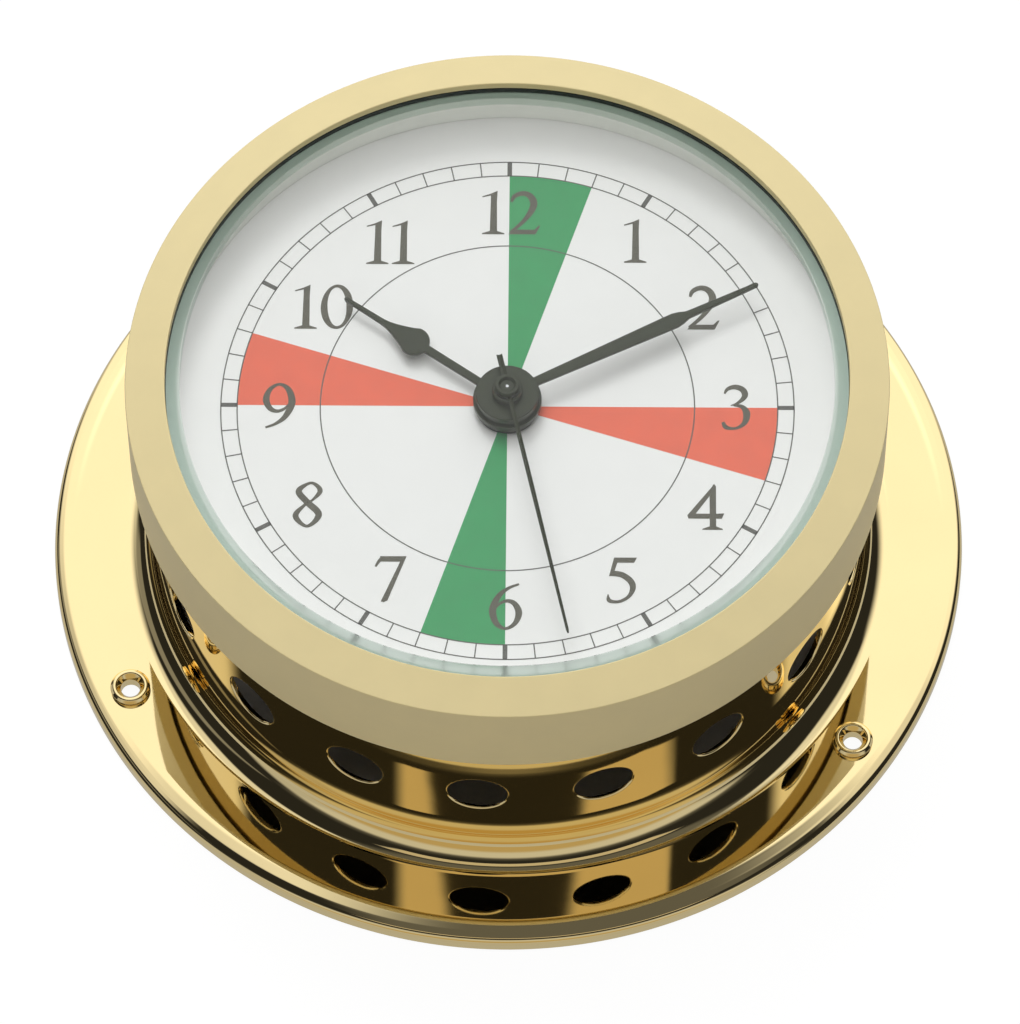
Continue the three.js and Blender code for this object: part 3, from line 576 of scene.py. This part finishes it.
def build_front():
    bezel = lathe(rounded([
        (BEZEL_THREAD, BEZEL_FOOT, 0.1),
        (BEZEL, BEZEL_FOOT, 0.15),
        (BEZEL, BEZEL_BROW, 0.15),
        (BEZEL_MOUTH, BEZEL_TOP, 0.15),
        (BEZEL_MOUTH, SEAT_TOP, 0.05),
        (BEZEL_SEAT, SEAT_TOP, 0.0),
        (BEZEL_SEAT, SEAT_FOOT, 0.0),
        (BEZEL_THREAD, SEAT_FOOT, 0.0),
    ]))
    bezel.build("bezel_ring", "bezel", satin, "satin_brass", ["bezel"])
    gasket = lathe(rounded([
        (GASKET_BORE, SPACER_TOP + SEAT_GAP, 0.1),
        (BEZEL_SEAT - SEAT_GAP, SPACER_TOP + SEAT_GAP, 0.1),
        (BEZEL_SEAT - SEAT_GAP, SEAT_TOP - SEAT_GAP, 0.1),
        (BEZEL_MOUTH - SEAT_GAP, SEAT_TOP - SEAT_GAP, 0.1),
        (BEZEL_MOUTH - SEAT_GAP, 42.39, 0.05),
        (GLASS_RIM + 0.1, GLASS_RIM_TOP + 0.1, 0.0),
        (GLASS_RIM + 0.1, GLASS_FOOT - SEAT_GAP, 0.0),
        (GASKET_BORE, GLASS_FOOT - SEAT_GAP, 0.0),
    ]))
    gasket.build("gasket", "bezel", rubber, "black_rubber", ["glass_gasket"])
    pane = lathe(rounded([
        (0, GLASS_FOOT, 0),
        (GLASS_RIM, GLASS_FOOT, 0.04),
        (GLASS_RIM, GLASS_RIM_TOP, 0.04),
        (GLASS_BEVEL, GLASS_TOP, 0.04),
        (0, GLASS_TOP, 0),
    ], closed=False))
    pane.build("front_pane", "front_glass", glass, "glass", ["glass"])
    ring = lathe(rounded([
        (BEZEL_MOUTH, SPACER_FOOT, 0.05),
        (DIAL_RADIUS, SPACER_FOOT, 0.05),
        (DIAL_RADIUS, SPACER_TOP, 0.05),
        (BEZEL_MOUTH, SPACER_TOP, 0.1),
    ]))
    ring.build("glass_spacer", "case", grey, "grey_plastic", ["spacer_ring"])
    plate = lathe(rounded([
        (DIAL_HOLE, DIAL_FOOT, 0.0),
        (DIAL_RADIUS, DIAL_FOOT, 0.0),
        (DIAL_RADIUS, DIAL_TOP, 0.05),
        (DIAL_HOLE, DIAL_TOP, 0.05),
    ]))
    plate.build("dial_plate", "case", dial_white, "dial_print", ["dial"])


# Print on the dial


def printed(shell, height, *points):
    """A flat printed shape, its (x, y) points counter-clockwise."""
    shell.face(*(((x, y, DIAL_TOP + height), (0, 0, 1)) for x, y in points))


def clock_point(radius, degrees):
    """A point of the dial by its angle clockwise from twelve o'clock."""
    angle = math.radians(90 - degrees)
    return radius * math.cos(angle), radius * math.sin(angle)


def ring_print(shell, height, inner, outer, start=0, stop=360):
    """A ring, or the part of it between two angles, in steps of about one degree."""
    count = round(stop - start)
    for i in range(count):
        a, b = start + (stop - start) * i / count, start + (stop - start) * (i + 1) / count
        printed(shell, height, clock_point(inner, b), clock_point(outer, b),
                clock_point(outer, a), clock_point(inner, a))


def pen(shell, points, height, left, base, closed=False):
    """A stroke of a pen: a smooth line through (x, y, width) points.

    Neighbouring faces of a stroke lie at slightly different heights, because they overlap.
    """
    count = len(points)
    track = []
    for i in range(count if closed else count - 1):
        p = [points[(i + k) % count] if closed else points[min(max(i + k, 0), count - 1)]
             for k in (-1, 0, 1, 2)]
        for k in range(PEN_STEPS):
            t = k / PEN_STEPS
            track.append([
                0.5 * (2 * b + (c - a) * t + (2 * a - 5 * b + 4 * c - d) * t * t
                       + (3 * b - a - 3 * c + d) * t ** 3)
                for a, b, c, d in zip(*p)
            ])
    if not closed:
        track.append(list(points[-1]))
    sides = []
    count = len(track)
    for i, (x, y, width) in enumerate(track):
        a = track[(i - 1) % count] if closed or i else track[i]
        b = track[(i + 1) % count] if closed or i < count - 1 else track[i]
        way = Vector((b[0] - a[0], b[1] - a[1])).normalized()
        sides.append(((left + x + way.y * width / 2, base + y - way.x * width / 2),
                      (left + x - way.y * width / 2, base + y + way.x * width / 2)))
    for i in range(count if closed else count - 1):
        (ar, al), (br, bl) = sides[i], sides[(i + 1) % count]
        printed(shell, height + 0.0002 * (i % 7), ar, br, bl, al)


def shape(shell, points, height, left, base):
    printed(shell, height, *((left + x, base + y) for x, y in points))


def six(turned=False):
    """The six, and turned upside down the nine."""
    strokes = [
        [(3.85, 6.62, 0.3), (2.5, 6.02, 0.42), (1.3, 4.9, 0.72), (0.53, 2.9, 0.93), (1.0, 1.0, 0.76),
         (2.15, 0.22, 0.42), (3.35, 0.95, 0.6), (3.85, 2.45, 0.86), (3.35, 3.75, 0.72),
         (2.45, 4.2, 0.5), (1.5, 3.85, 0.38), (0.9, 3.1, 0.2)],
    ]
    if turned:
        strokes = [[(4.3 - x, 6.6 - y, w) for x, y, w in line] for line in strokes]
    return strokes, [], []


# Each digit: open strokes, closed strokes and flat shapes, from its lower left corner
DIGITS = {
    "0": ([], [[(2.1 - 1.66 * math.sin(t), 3.32 + 3.12 * math.cos(t), 0.4 + 0.5 * math.sin(t - 0.25) ** 2)
                for t in (math.radians(30 * k) for k in range(12))]], []),
    "1": ([], [], [
        [(1.0, 0.3), (1.95, 0.3), (1.9, 5.0), (1.97, 6.62), (1.1, 5.95), (1.1, 5.0)],
        [(0.0, 5.62), (1.1, 5.9), (1.97, 6.62), (1.15, 6.2), (0.0, 5.78)],
        [(0.0, 0.0), (2.9, 0.0), (2.9, 0.16), (1.95, 0.5), (1.0, 0.5), (0.0, 0.16)],
    ]),
    "2": ([[(0.45, 4.9, 0.35), (0.8, 5.75, 0.6), (1.8, 6.24, 0.72), (2.8, 5.9, 0.85), (3.35, 4.85, 0.95),
            (3.1, 3.7, 0.85), (2.3, 2.35, 0.62), (1.3, 1.2, 0.5), (0.3, 0.3, 0.4)]], [], [
        [(0.05, 0.0), (3.6, 0.0), (4.25, 1.35), (4.0, 1.35), (3.45, 0.72), (0.7, 0.72)],
    ]),
    "3": ([[(0.42, 5.35, 0.25), (0.85, 6.05, 0.5), (1.8, 6.35, 0.7), (2.7, 6.0, 0.8), (3.05, 5.3, 0.82),
            (2.8, 4.6, 0.62), (2.0, 3.9, 0.35), (1.2, 3.6, 0.12)],
           [(1.6, 3.66, 0.3), (2.7, 3.4, 0.6), (3.25, 2.45, 0.93), (3.05, 1.2, 0.72), (2.3, 0.42, 0.45),
            (1.4, 0.2, 0.4), (0.55, 0.42, 0.62), (0.2, 1.15, 0.42)]], [], []),
    "4": ([], [], [
        [(2.9, 0.3), (3.72, 0.3), (3.72, 6.3), (3.55, 6.62), (3.35, 6.62), (2.9, 5.3)],
        [(0.05, 2.1), (0.95, 2.1), (3.72, 6.1), (3.5, 6.66)],
        [(0.05, 2.1), (0.2, 1.62), (4.45, 1.62), (4.75, 2.4), (3.72, 2.34), (0.8, 2.34)],
        [(1.95, 0.0), (4.55, 0.0), (4.55, 0.14), (3.72, 0.5), (2.9, 0.5), (1.95, 0.14)],
    ]),
    "5": ([[(0.95, 4.32, 0.8), (2.0, 4.1, 0.8), (3.0, 3.3, 0.82), (3.35, 2.3, 0.76), (2.9, 1.1, 0.5),
            (1.85, 0.34, 0.42), (0.9, 0.24, 0.45), (0.3, 0.5, 0.55), (0.2, 1.3, 0.12)]], [], [
        [(0.97, 6.62), (0.32, 3.93), (1.0, 3.93), (1.0, 4.6), (1.38, 5.88), (3.5, 5.88), (3.87, 6.62)],
    ]),
    "6": six(),
    "7": ([[(0.95, 6.3, 0.5), (0.55, 5.85, 0.42), (0.15, 5.1, 0.25)]], [], [
        [(0.7, 6.62), (0.75, 5.85), (3.3, 5.85), (4.08, 6.64)],
        [(3.3, 5.9), (0.9, 0.1), (1.3, 0.0), (1.75, 0.25), (4.08, 6.64)],
    ]),
    "8": ([], [[(2.07, 6.45, 0.38), (0.78, 5.3, 0.8), (1.85, 3.75, 0.86), (3.4, 1.9, 0.86),
                (1.96, 0.2, 0.42), (0.45, 1.65, 0.76), (1.5, 3.2, 0.42), (2.6, 4.05, 0.34),
                (3.5, 5.3, 0.66), (2.95, 6.25, 0.5)]], []),
    "9": six(turned=True),
}
WIDTHS = {
    "0": 4.2, "1": 2.9, "2": 4.3, "3": 3.7, "4": 4.75,
    "5": 3.75, "6": 4.3, "7": 4.08, "8": 3.85, "9": 4.3,
}

# Middles of the numbers that don't stand on the numbers' circle
NUMBER_CIRCLE = 29.3
NUMBER_PLACES = {
    12: (0.3, 29.1),
    1: (16.4, 24.9),
    2: (25.2, 14.9),
    10: (-23.85, 14.7),
    11: (-15.4, 24.5),
}


def numeral(shell, text, x, y):
    """A number of the dial, upright, its middle at (x, y)."""
    total = sum(WIDTHS[d] for d in text) + DIGIT_GAP * (len(text) - 1)
    left, base = x - total / 2, y - DIGIT_HALF
    for digit in text:
        lines, loops, shapes = DIGITS[digit]
        for line in lines:
            pen(shell, line, NUMERAL_LAYER, left, base)
        for loop in loops:
            pen(shell, loop, NUMERAL_LAYER, left, base, closed=True)
        for k, points in enumerate(shapes):
            shape(shell, points, NUMERAL_LAYER + 0.001 * (k + 1), left, base)
        left += WIDTHS[digit] + DIGIT_GAP


def build_print():
    fields = {"green": (Shell(), green), "red": (Shell(), red)}
    for start, name in ((0, "green"), (90, "red"), (180, "green"), (270, "red")):
        ring_print(fields[name][0], FIELD_LAYER, DIAL_HOLE, TRACK_INNER, start, start + FIELD_DEGREES)
    for name, (shell, colour) in fields.items():
        shell.build(f"dial_fields_{name}", "case", colour, "dial_print")
    marks = Shell()
    for radius in (TRACK_INNER, TRACK, MIDDLE_RING):
        ring_print(marks, LINE_LAYER, radius - LINE_HALF, radius + LINE_HALF)
    for minute in range(60):
        half = MARK_HALF if minute % 5 == 0 else LINE_HALF
        turn = math.radians(-6 * minute)
        cos, sin = math.cos(turn), math.sin(turn)
        corners = []
        for x, y in ((-half, TRACK_INNER), (half, TRACK_INNER), (half, TRACK), (-half, TRACK)):
            corners.append((x * cos - y * sin, x * sin + y * cos))
        printed(marks, LINE_LAYER, *corners)
    marks.build("dial_lines", "case", line_ink, "dial_print")
    numbers = Shell()
    for hour in range(1, 13):
        x, y = NUMBER_PLACES.get(hour) or clock_point(NUMBER_CIRCLE, 30 * hour)
        numeral(numbers, str(hour), x, y)
    numbers.build("dial_numerals", "case", ink, "dial_print")


# Hands


def mirrored(side):
    return side + [(-x, y) for x, y in reversed(side)]


def hub(bore, radius, foot, top):
    """The outline of a hand's round hub."""
    return [(bore, foot, 0.05), (radius, foot, 0.1), (radius, top, 0.12), (bore, top, 0.05)]


def build_pointer(name, body, replaced, side, foot, top, hub_outline, turns):
    """A flat pointer on its hub. side is the right half of its outline, from hub to tip."""
    shell = Shell()
    slab(shell, mirrored(side), foot, top, HAND_EDGE)
    lathe(rounded(hub_outline), FINE, shell=shell)
    turned_to(shell.build(name, body, hand_paint, "hand_paint", [replaced]), turns)


def build_second_hand():
    """A needle with a crease along its back, on an open collet."""
    shell = Shell()
    stations = [(-4.9, 0.37), (-1.5, 0.37), (1.5, 0.28), (15, 0.28), (36.0, 0.17), (36.45, 0.1)]
    rows = []
    for y, half in stations:
        crease = 40.2 if y < 0 else 40.26
        rows.append([
            (-half, y, SECOND_FOOT),
            (half, y, SECOND_FOOT),
            (half, y, SECOND_EDGE),
            (0, y, crease),
            (-half, y, SECOND_EDGE),
        ])
    for a, b in zip(rows, rows[1:]):
        for i in range(5):
            j = (i + 1) % 5
            shell.flat(a[i], b[i], b[j], a[j])
    shell.flat(*rows[0])
    shell.flat(*reversed(rows[-1]))
    lathe(rounded([
        (0.2, SECOND_FOOT, 0.0),
        (1.6, SECOND_FOOT, 0.08),
        (1.5, 41.05, 0.12),
        (1.1, 41.05, 0.1),
        (0.85, 40.6, 0.1),
        (0.2, 40.55, 0.0),
    ]), FINE, shell=shell)
    piece = shell.build("second_pointer", "second", hand_paint, "hand_paint", ["second_hand"])
    turned_to(piece, SECOND_TURN)


def build_hands():
    pear_radius = 2.0
    pear_middle = 14.75
    pear = [(pear_radius * math.sin(math.radians(a)), pear_middle - pear_radius * math.cos(math.radians(a)))
            for a in range(16, 112, 8)]
    build_pointer("hour_pointer", "hour", "hour_hand", [
        (0.52, HAND_ROOT), *pear, (1.55, 15.9), (1.15, 16.9), (0.78, 17.9), (0.5, 18.9),
        (0.38, 19.8), (0.27, 25.6), (0.12, 25.85),
    ], 36.9, 37.35, hub(2.55, 4.4, 36.3, 37.4), HOUR_TURN)
    build_pointer("minute_pointer", "minute", "minute_hand", [
        (0.58, HAND_ROOT), (1.02, 23.0), (1.03, 24.2), (0.85, 25.1), (0.52, 26.0), (0.42, 30.0),
        (0.3, 36.0), (0.12, 36.2),
    ], 38.275, 38.725, hub(1.55, 4.05, 37.7, 38.85), MINUTE_TURN)
    nut = lathe(rounded([
        (1.55, 38.9, 0.05),
        (1.95, 38.9, 0.05),
        (1.95, 39.7, 0.12),
        (1.75, 40.05, 0.05),
        (1.55, 40.05, 0.05),
    ]), FINE)
    nut.build("minute_nut", "minute", hand_paint, "hand_paint", ["minute_hand_nut"])
    build_second_hand()


# Battery


def build_battery():
    """A cell lying along X in a plain sleeve, its steel ends bare."""
    foot = -24.95
    shoulder = 23.65
    wrap_radius = 7.05
    can_radius = 6.6
    middle = Vector((0, -19.5, 26.15))
    lie = Matrix.Translation(middle * MM) @ Matrix.Rotation(math.pi / 2, 4, "Y")
    wrap = lathe(rounded([
        (5.9, foot, 0.05),
        (wrap_radius, foot, 0.45),
        (wrap_radius, shoulder, 0.45),
        (5.4, shoulder, 0.05),
        (5.4, shoulder - 0.4, 0.05),
        (5.9, foot + 0.4, 0.05),
    ]), FINE)
    can = lathe(rounded([
        (0, foot + 0.05, 0),
        (4.6, foot + 0.05, 0.1),
        (4.9, foot + 0.25, 0.1),
        (can_radius, foot + 0.25, 0.1),
        (can_radius, shoulder - 0.2, 0.1),
        (2.9, shoulder - 0.2, 0.3),
        (2.6, shoulder + 1.3, 0.3),
        (0, shoulder + 1.3, 0),
    ], closed=False), FINE)
    wrap.build("battery_sleeve", "battery", sleeve, "battery_sleeve", ["battery"]).data.transform(lie)
    can.build("battery_can", "battery", steel, "steel").data.transform(lie)


# Pieces of the frame that keep their own shape

CARRIED = {
    black_plastic: ["movement_holder", "movement_housing", "movement_cover", "setting_knob"],
    white_plastic: ["middle_plate", "step_wheel", "third_wheel", "center_wheel", "minute_wheel",
                    "hour_wheel"],
    steel: ["second_wheel", "minute_arbor", "clutch_spring", "quartz_can", "contact_plus",
            "contact_minus", "movement_screw_1", "movement_screw_2"],
    iron: ["stator"],
    magnet: ["rotor"],
    copper: ["coil"],
    board: ["circuit_board"],
}


def dress_carried():
    """Their materials, and a fine bevel on their sharp edges."""
    edge_width = 0.12
    sharp = 40
    for material, names in CARRIED.items():
        for name in names:
            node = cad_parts[name]
            for slot in node.material_slots:
                slot.material = material
            edge = node.modifiers.new("edge", "BEVEL")
            edge.width = edge_width * MM
            edge.segments = 2
            edge.limit_method = "ANGLE"
            edge.angle_limit = math.radians(sharp)


# Floor, light and camera


def floor_material():
    """A pale floor that shows white where it isn't shaded, and dimmer in metal.

    It doesn't glow under the clock, so that the case keeps its dark inside.
    """
    glow_to_eye = 1.07
    glow_in_metal = 0.49
    glow_share = 0.88
    clock_reach = 51
    material = bpy.data.materials.new("floor")
    material.use_nodes = True
    nodes, links = material.node_tree.nodes, material.node_tree.links
    calculate = calculator(material.node_tree)
    shader = nodes["Principled BSDF"]
    shader.inputs["Roughness"].default_value = 0.9
    shader.inputs["Specular IOR Level"].default_value = 0
    place = nodes.new("ShaderNodeTexCoord")
    noise = nodes.new("ShaderNodeTexNoise")
    noise.inputs["Scale"].default_value = 30
    links.new(place.outputs["Object"], noise.inputs["Vector"])
    ramp = nodes.new("ShaderNodeValToRGB")
    ramp.color_ramp.elements[0].color = (0.6, 0.6, 0.6, 1)
    ramp.color_ramp.elements[1].color = (0.62, 0.62, 0.62, 1)
    links.new(noise.outputs["Fac"], ramp.inputs["Fac"])
    links.new(ramp.outputs["Color"], shader.inputs["Base Color"])
    path = nodes.new("ShaderNodeLightPath")
    straight = calculate("MAXIMUM", path.outputs["Is Camera Ray"], path.outputs["Is Transmission Ray"])
    seen = calculate("ADD", path.outputs["Is Glossy Ray"], straight)
    away = nodes.new("ShaderNodeVectorMath")
    away.operation = "LENGTH"
    links.new(place.outputs["Object"], away.inputs[0])
    beyond = calculate("GREATER_THAN", away.outputs["Value"], clock_reach * MM)
    whole = calculate("MINIMUM", calculate("MULTIPLY", seen, beyond), 1)
    share = calculate("MULTIPLY", whole, glow_share)
    glow = nodes.new("ShaderNodeEmission")
    level = nodes.new("ShaderNodeMapRange")
    level.inputs["To Min"].default_value = glow_to_eye
    level.inputs["To Max"].default_value = glow_in_metal
    links.new(path.outputs["Is Glossy Ray"], level.inputs["Value"])
    links.new(level.outputs["Result"], glow.inputs["Strength"])
    mix = nodes.new("ShaderNodeMixShader")
    links.new(share, mix.inputs[0])
    links.new(shader.outputs[0], mix.inputs[1])
    links.new(glow.outputs[0], mix.inputs[2])
    links.new(mix.outputs[0], nodes["Material Output"].inputs["Surface"])
    return material


def build_floor():
    reach_m = 3
    drop = 0.02
    corners = [
        (-reach_m, -reach_m, 0),
        (reach_m, -reach_m, 0),
        (reach_m, reach_m, 0),
        (-reach_m, reach_m, 0),
    ]
    mesh = bpy.data.meshes.new("floor")
    mesh.from_pydata(corners, [], [(0, 1, 2, 3)])
    mesh.materials.append(floor_material())
    floor = bpy.data.objects.new("floor", mesh)
    bpy.context.collection.objects.link(floor)
    floor.location.z = -drop * MM


def build_world():
    """The room that the brass mirrors: soft bright panels in a dark room, and white to the camera.

    A direction is placed by its stereographic shadow (u, v), where the zenith is the middle and
    the horizon the circle of radius 1, u to the right and v to twelve o'clock.
    """
    world = bpy.data.worlds.new("room")
    bpy.context.scene.world = world
    world.use_nodes = True
    nodes, links = world.node_tree.nodes, world.node_tree.links
    calculate = calculator(world.node_tree)

    def rise(value, low, high):
        """0 below low, 1 above high, smooth between."""
        node = nodes.new("ShaderNodeMapRange")
        node.interpolation_type = "SMOOTHSTEP"
        node.inputs["From Min"].default_value = low
        node.inputs["From Max"].default_value = high
        links.new(value, node.inputs["Value"])
        return node.outputs["Result"]

    place = nodes.new("ShaderNodeTexCoord")
    way = nodes.new("ShaderNodeSeparateXYZ")
    links.new(place.outputs["Generated"], way.inputs[0])
    least = 0.2
    above = calculate("MAXIMUM", calculate("ADD", way.outputs["Z"], 1), least)
    u = calculate("DIVIDE", way.outputs["X"], above)
    v = calculate("DIVIDE", way.outputs["Y"], above)

    def panel(left, right, low, high, level, soft=0.03, side=0.03, flare=0.0):
        """A soft-edged bright panel, its sides spread apart by flare for each unit of v."""
        spread = calculate("MULTIPLY", v, flare)
        parts = [
            rise(calculate("ADD", u, spread), left - side, left + side),
            rise(calculate("SUBTRACT", spread, u), -right - side, -right + side),
            rise(v, low - soft, low + soft),
            rise(calculate("MULTIPLY", v, -1), -high - soft, -high + soft),
        ]
        result = level
        for part in parts:
            result = calculate("MULTIPLY", part, result)
        return result

    sweep = panel(-0.18, 0.26, 0.16, 3.0, 1.13, soft=0.02, side=0.14, flare=0.6)
    lamp = panel(-0.12, 0.12, 0.285, 0.42, 0.35, soft=0.02, side=0.05)
    left_flap = panel(-0.24, -0.09, 0.05, 0.16, 0.75, soft=0.02, side=0.04, flare=0.4)
    right_flap = panel(0.16, 0.29, 0.05, 0.16, 0.75, soft=0.02, side=0.05, flare=0.4)
    bar = panel(-0.142, 0.2, -0.2165, -0.13, 0.52, soft=0.004, side=0.01)
    front = panel(-1.3, 0.72, -3.0, -0.42, 0.46, soft=0.05, side=0.08)
    table = panel(-0.54, 0.62, -0.66, -0.36, 0.1, soft=0.08, side=0.06)
    streak = panel(-0.56, -0.44, -0.26, 0.34, 0.22, side=0.02, flare=0.2)
    ceiling = panel(-0.1, 0.18, -0.1, 0.16, 0.1)
    room = 0.022
    for part in (sweep, lamp, left_flap, right_flap, ceiling, bar, front, table, streak):
        room = calculate("ADD", room, part)

    path = nodes.new("ShaderNodeLightPath")
    to_eye = path.outputs["Is Camera Ray"]
    strength = calculate("ADD", calculate("MULTIPLY", room, calculate("SUBTRACT", 1, to_eye)), to_eye)

    # The light is warm low in front, and half so on the bar
    warmth = nodes.new("ShaderNodeValToRGB")
    warmth.color_ramp.elements[0].color = (1, 0.78, 0.42, 1)
    warmth.color_ramp.elements[1].color = (1, 1, 1, 1)
    cool = calculate("MULTIPLY", rise(v, -0.75, -0.6), calculate("MULTIPLY_ADD", bar, -0.9, 1))
    links.new(calculate("MAXIMUM", cool, to_eye), warmth.inputs["Fac"])
    shade = nodes["Background"]
    links.new(warmth.outputs["Color"], shade.inputs["Color"])
    links.new(strength, shade.inputs["Strength"])


def build_light():
    """A soft key behind the clock, a wide fill above and a weak front light, all unseen in the metal."""
    aim_m = Vector((0, 0, 0.035))
    lamps = (
        ("key", (-0.16, 0.56, 0.9), 0.32, 2.4),
        ("fill", (-0.1, 0.1, 1.5), 1.4, 10.6),
        ("front", (0, -1.1, 0.35), 0.8, 1.2),
    )
    for name, place_m, size_m, watts in lamps:
        data = bpy.data.lights.new(name, "AREA")
        data.shape = "DISK"
        data.size = size_m
        data.energy = watts
        lamp = bpy.data.objects.new(name, data)
        lamp.location = place_m
        lamp.rotation_euler = (aim_m - lamp.location).to_track_quat("-Z", "Y").to_euler()
        lamp.visible_glossy = False
        lamp.visible_transmission = False
        bpy.context.collection.objects.link(lamp)


def build_camera():
    """The camera as fitted to the photograph's ellipses."""
    turn = math.radians(0.852)
    elevation = math.radians(60.867)
    roll = -0.0073025
    lens = 267.8
    sensor = 36
    nearest_m = 0.1
    farthest_m = 20
    distance_m = 0.9702
    aim_m = Vector((0.000467, -0.015622, 0.03616))
    right = Vector((math.cos(turn), math.sin(turn), 0))
    back = Vector((
        math.sin(turn) * math.cos(elevation),
        -math.cos(turn) * math.cos(elevation),
        math.sin(elevation),
    ))
    up = back.cross(right)
    across = right * math.cos(roll) + up * math.sin(roll)
    upward = up * math.cos(roll) - right * math.sin(roll)
    data = bpy.data.cameras.new("camera")
    data.lens = lens
    data.sensor_width = sensor
    data.clip_start = nearest_m
    data.clip_end = farthest_m
    camera = bpy.data.objects.new("camera", data)
    place = aim_m + back * distance_m
    camera.matrix_world = Matrix((
        (across.x, upward.x, back.x, place.x),
        (across.y, upward.y, back.y, place.y),
        (across.z, upward.z, back.z, place.z),
        (0, 0, 0, 1),
    ))
    bpy.context.collection.objects.link(camera)
    bpy.context.scene.camera = camera


build_case()
build_front()
build_print()
build_hands()
build_battery()
dress_carried()
build_floor()
build_world()
build_light()
build_camera()
bpy.context.scene.view_settings.view_transform = "Standard"
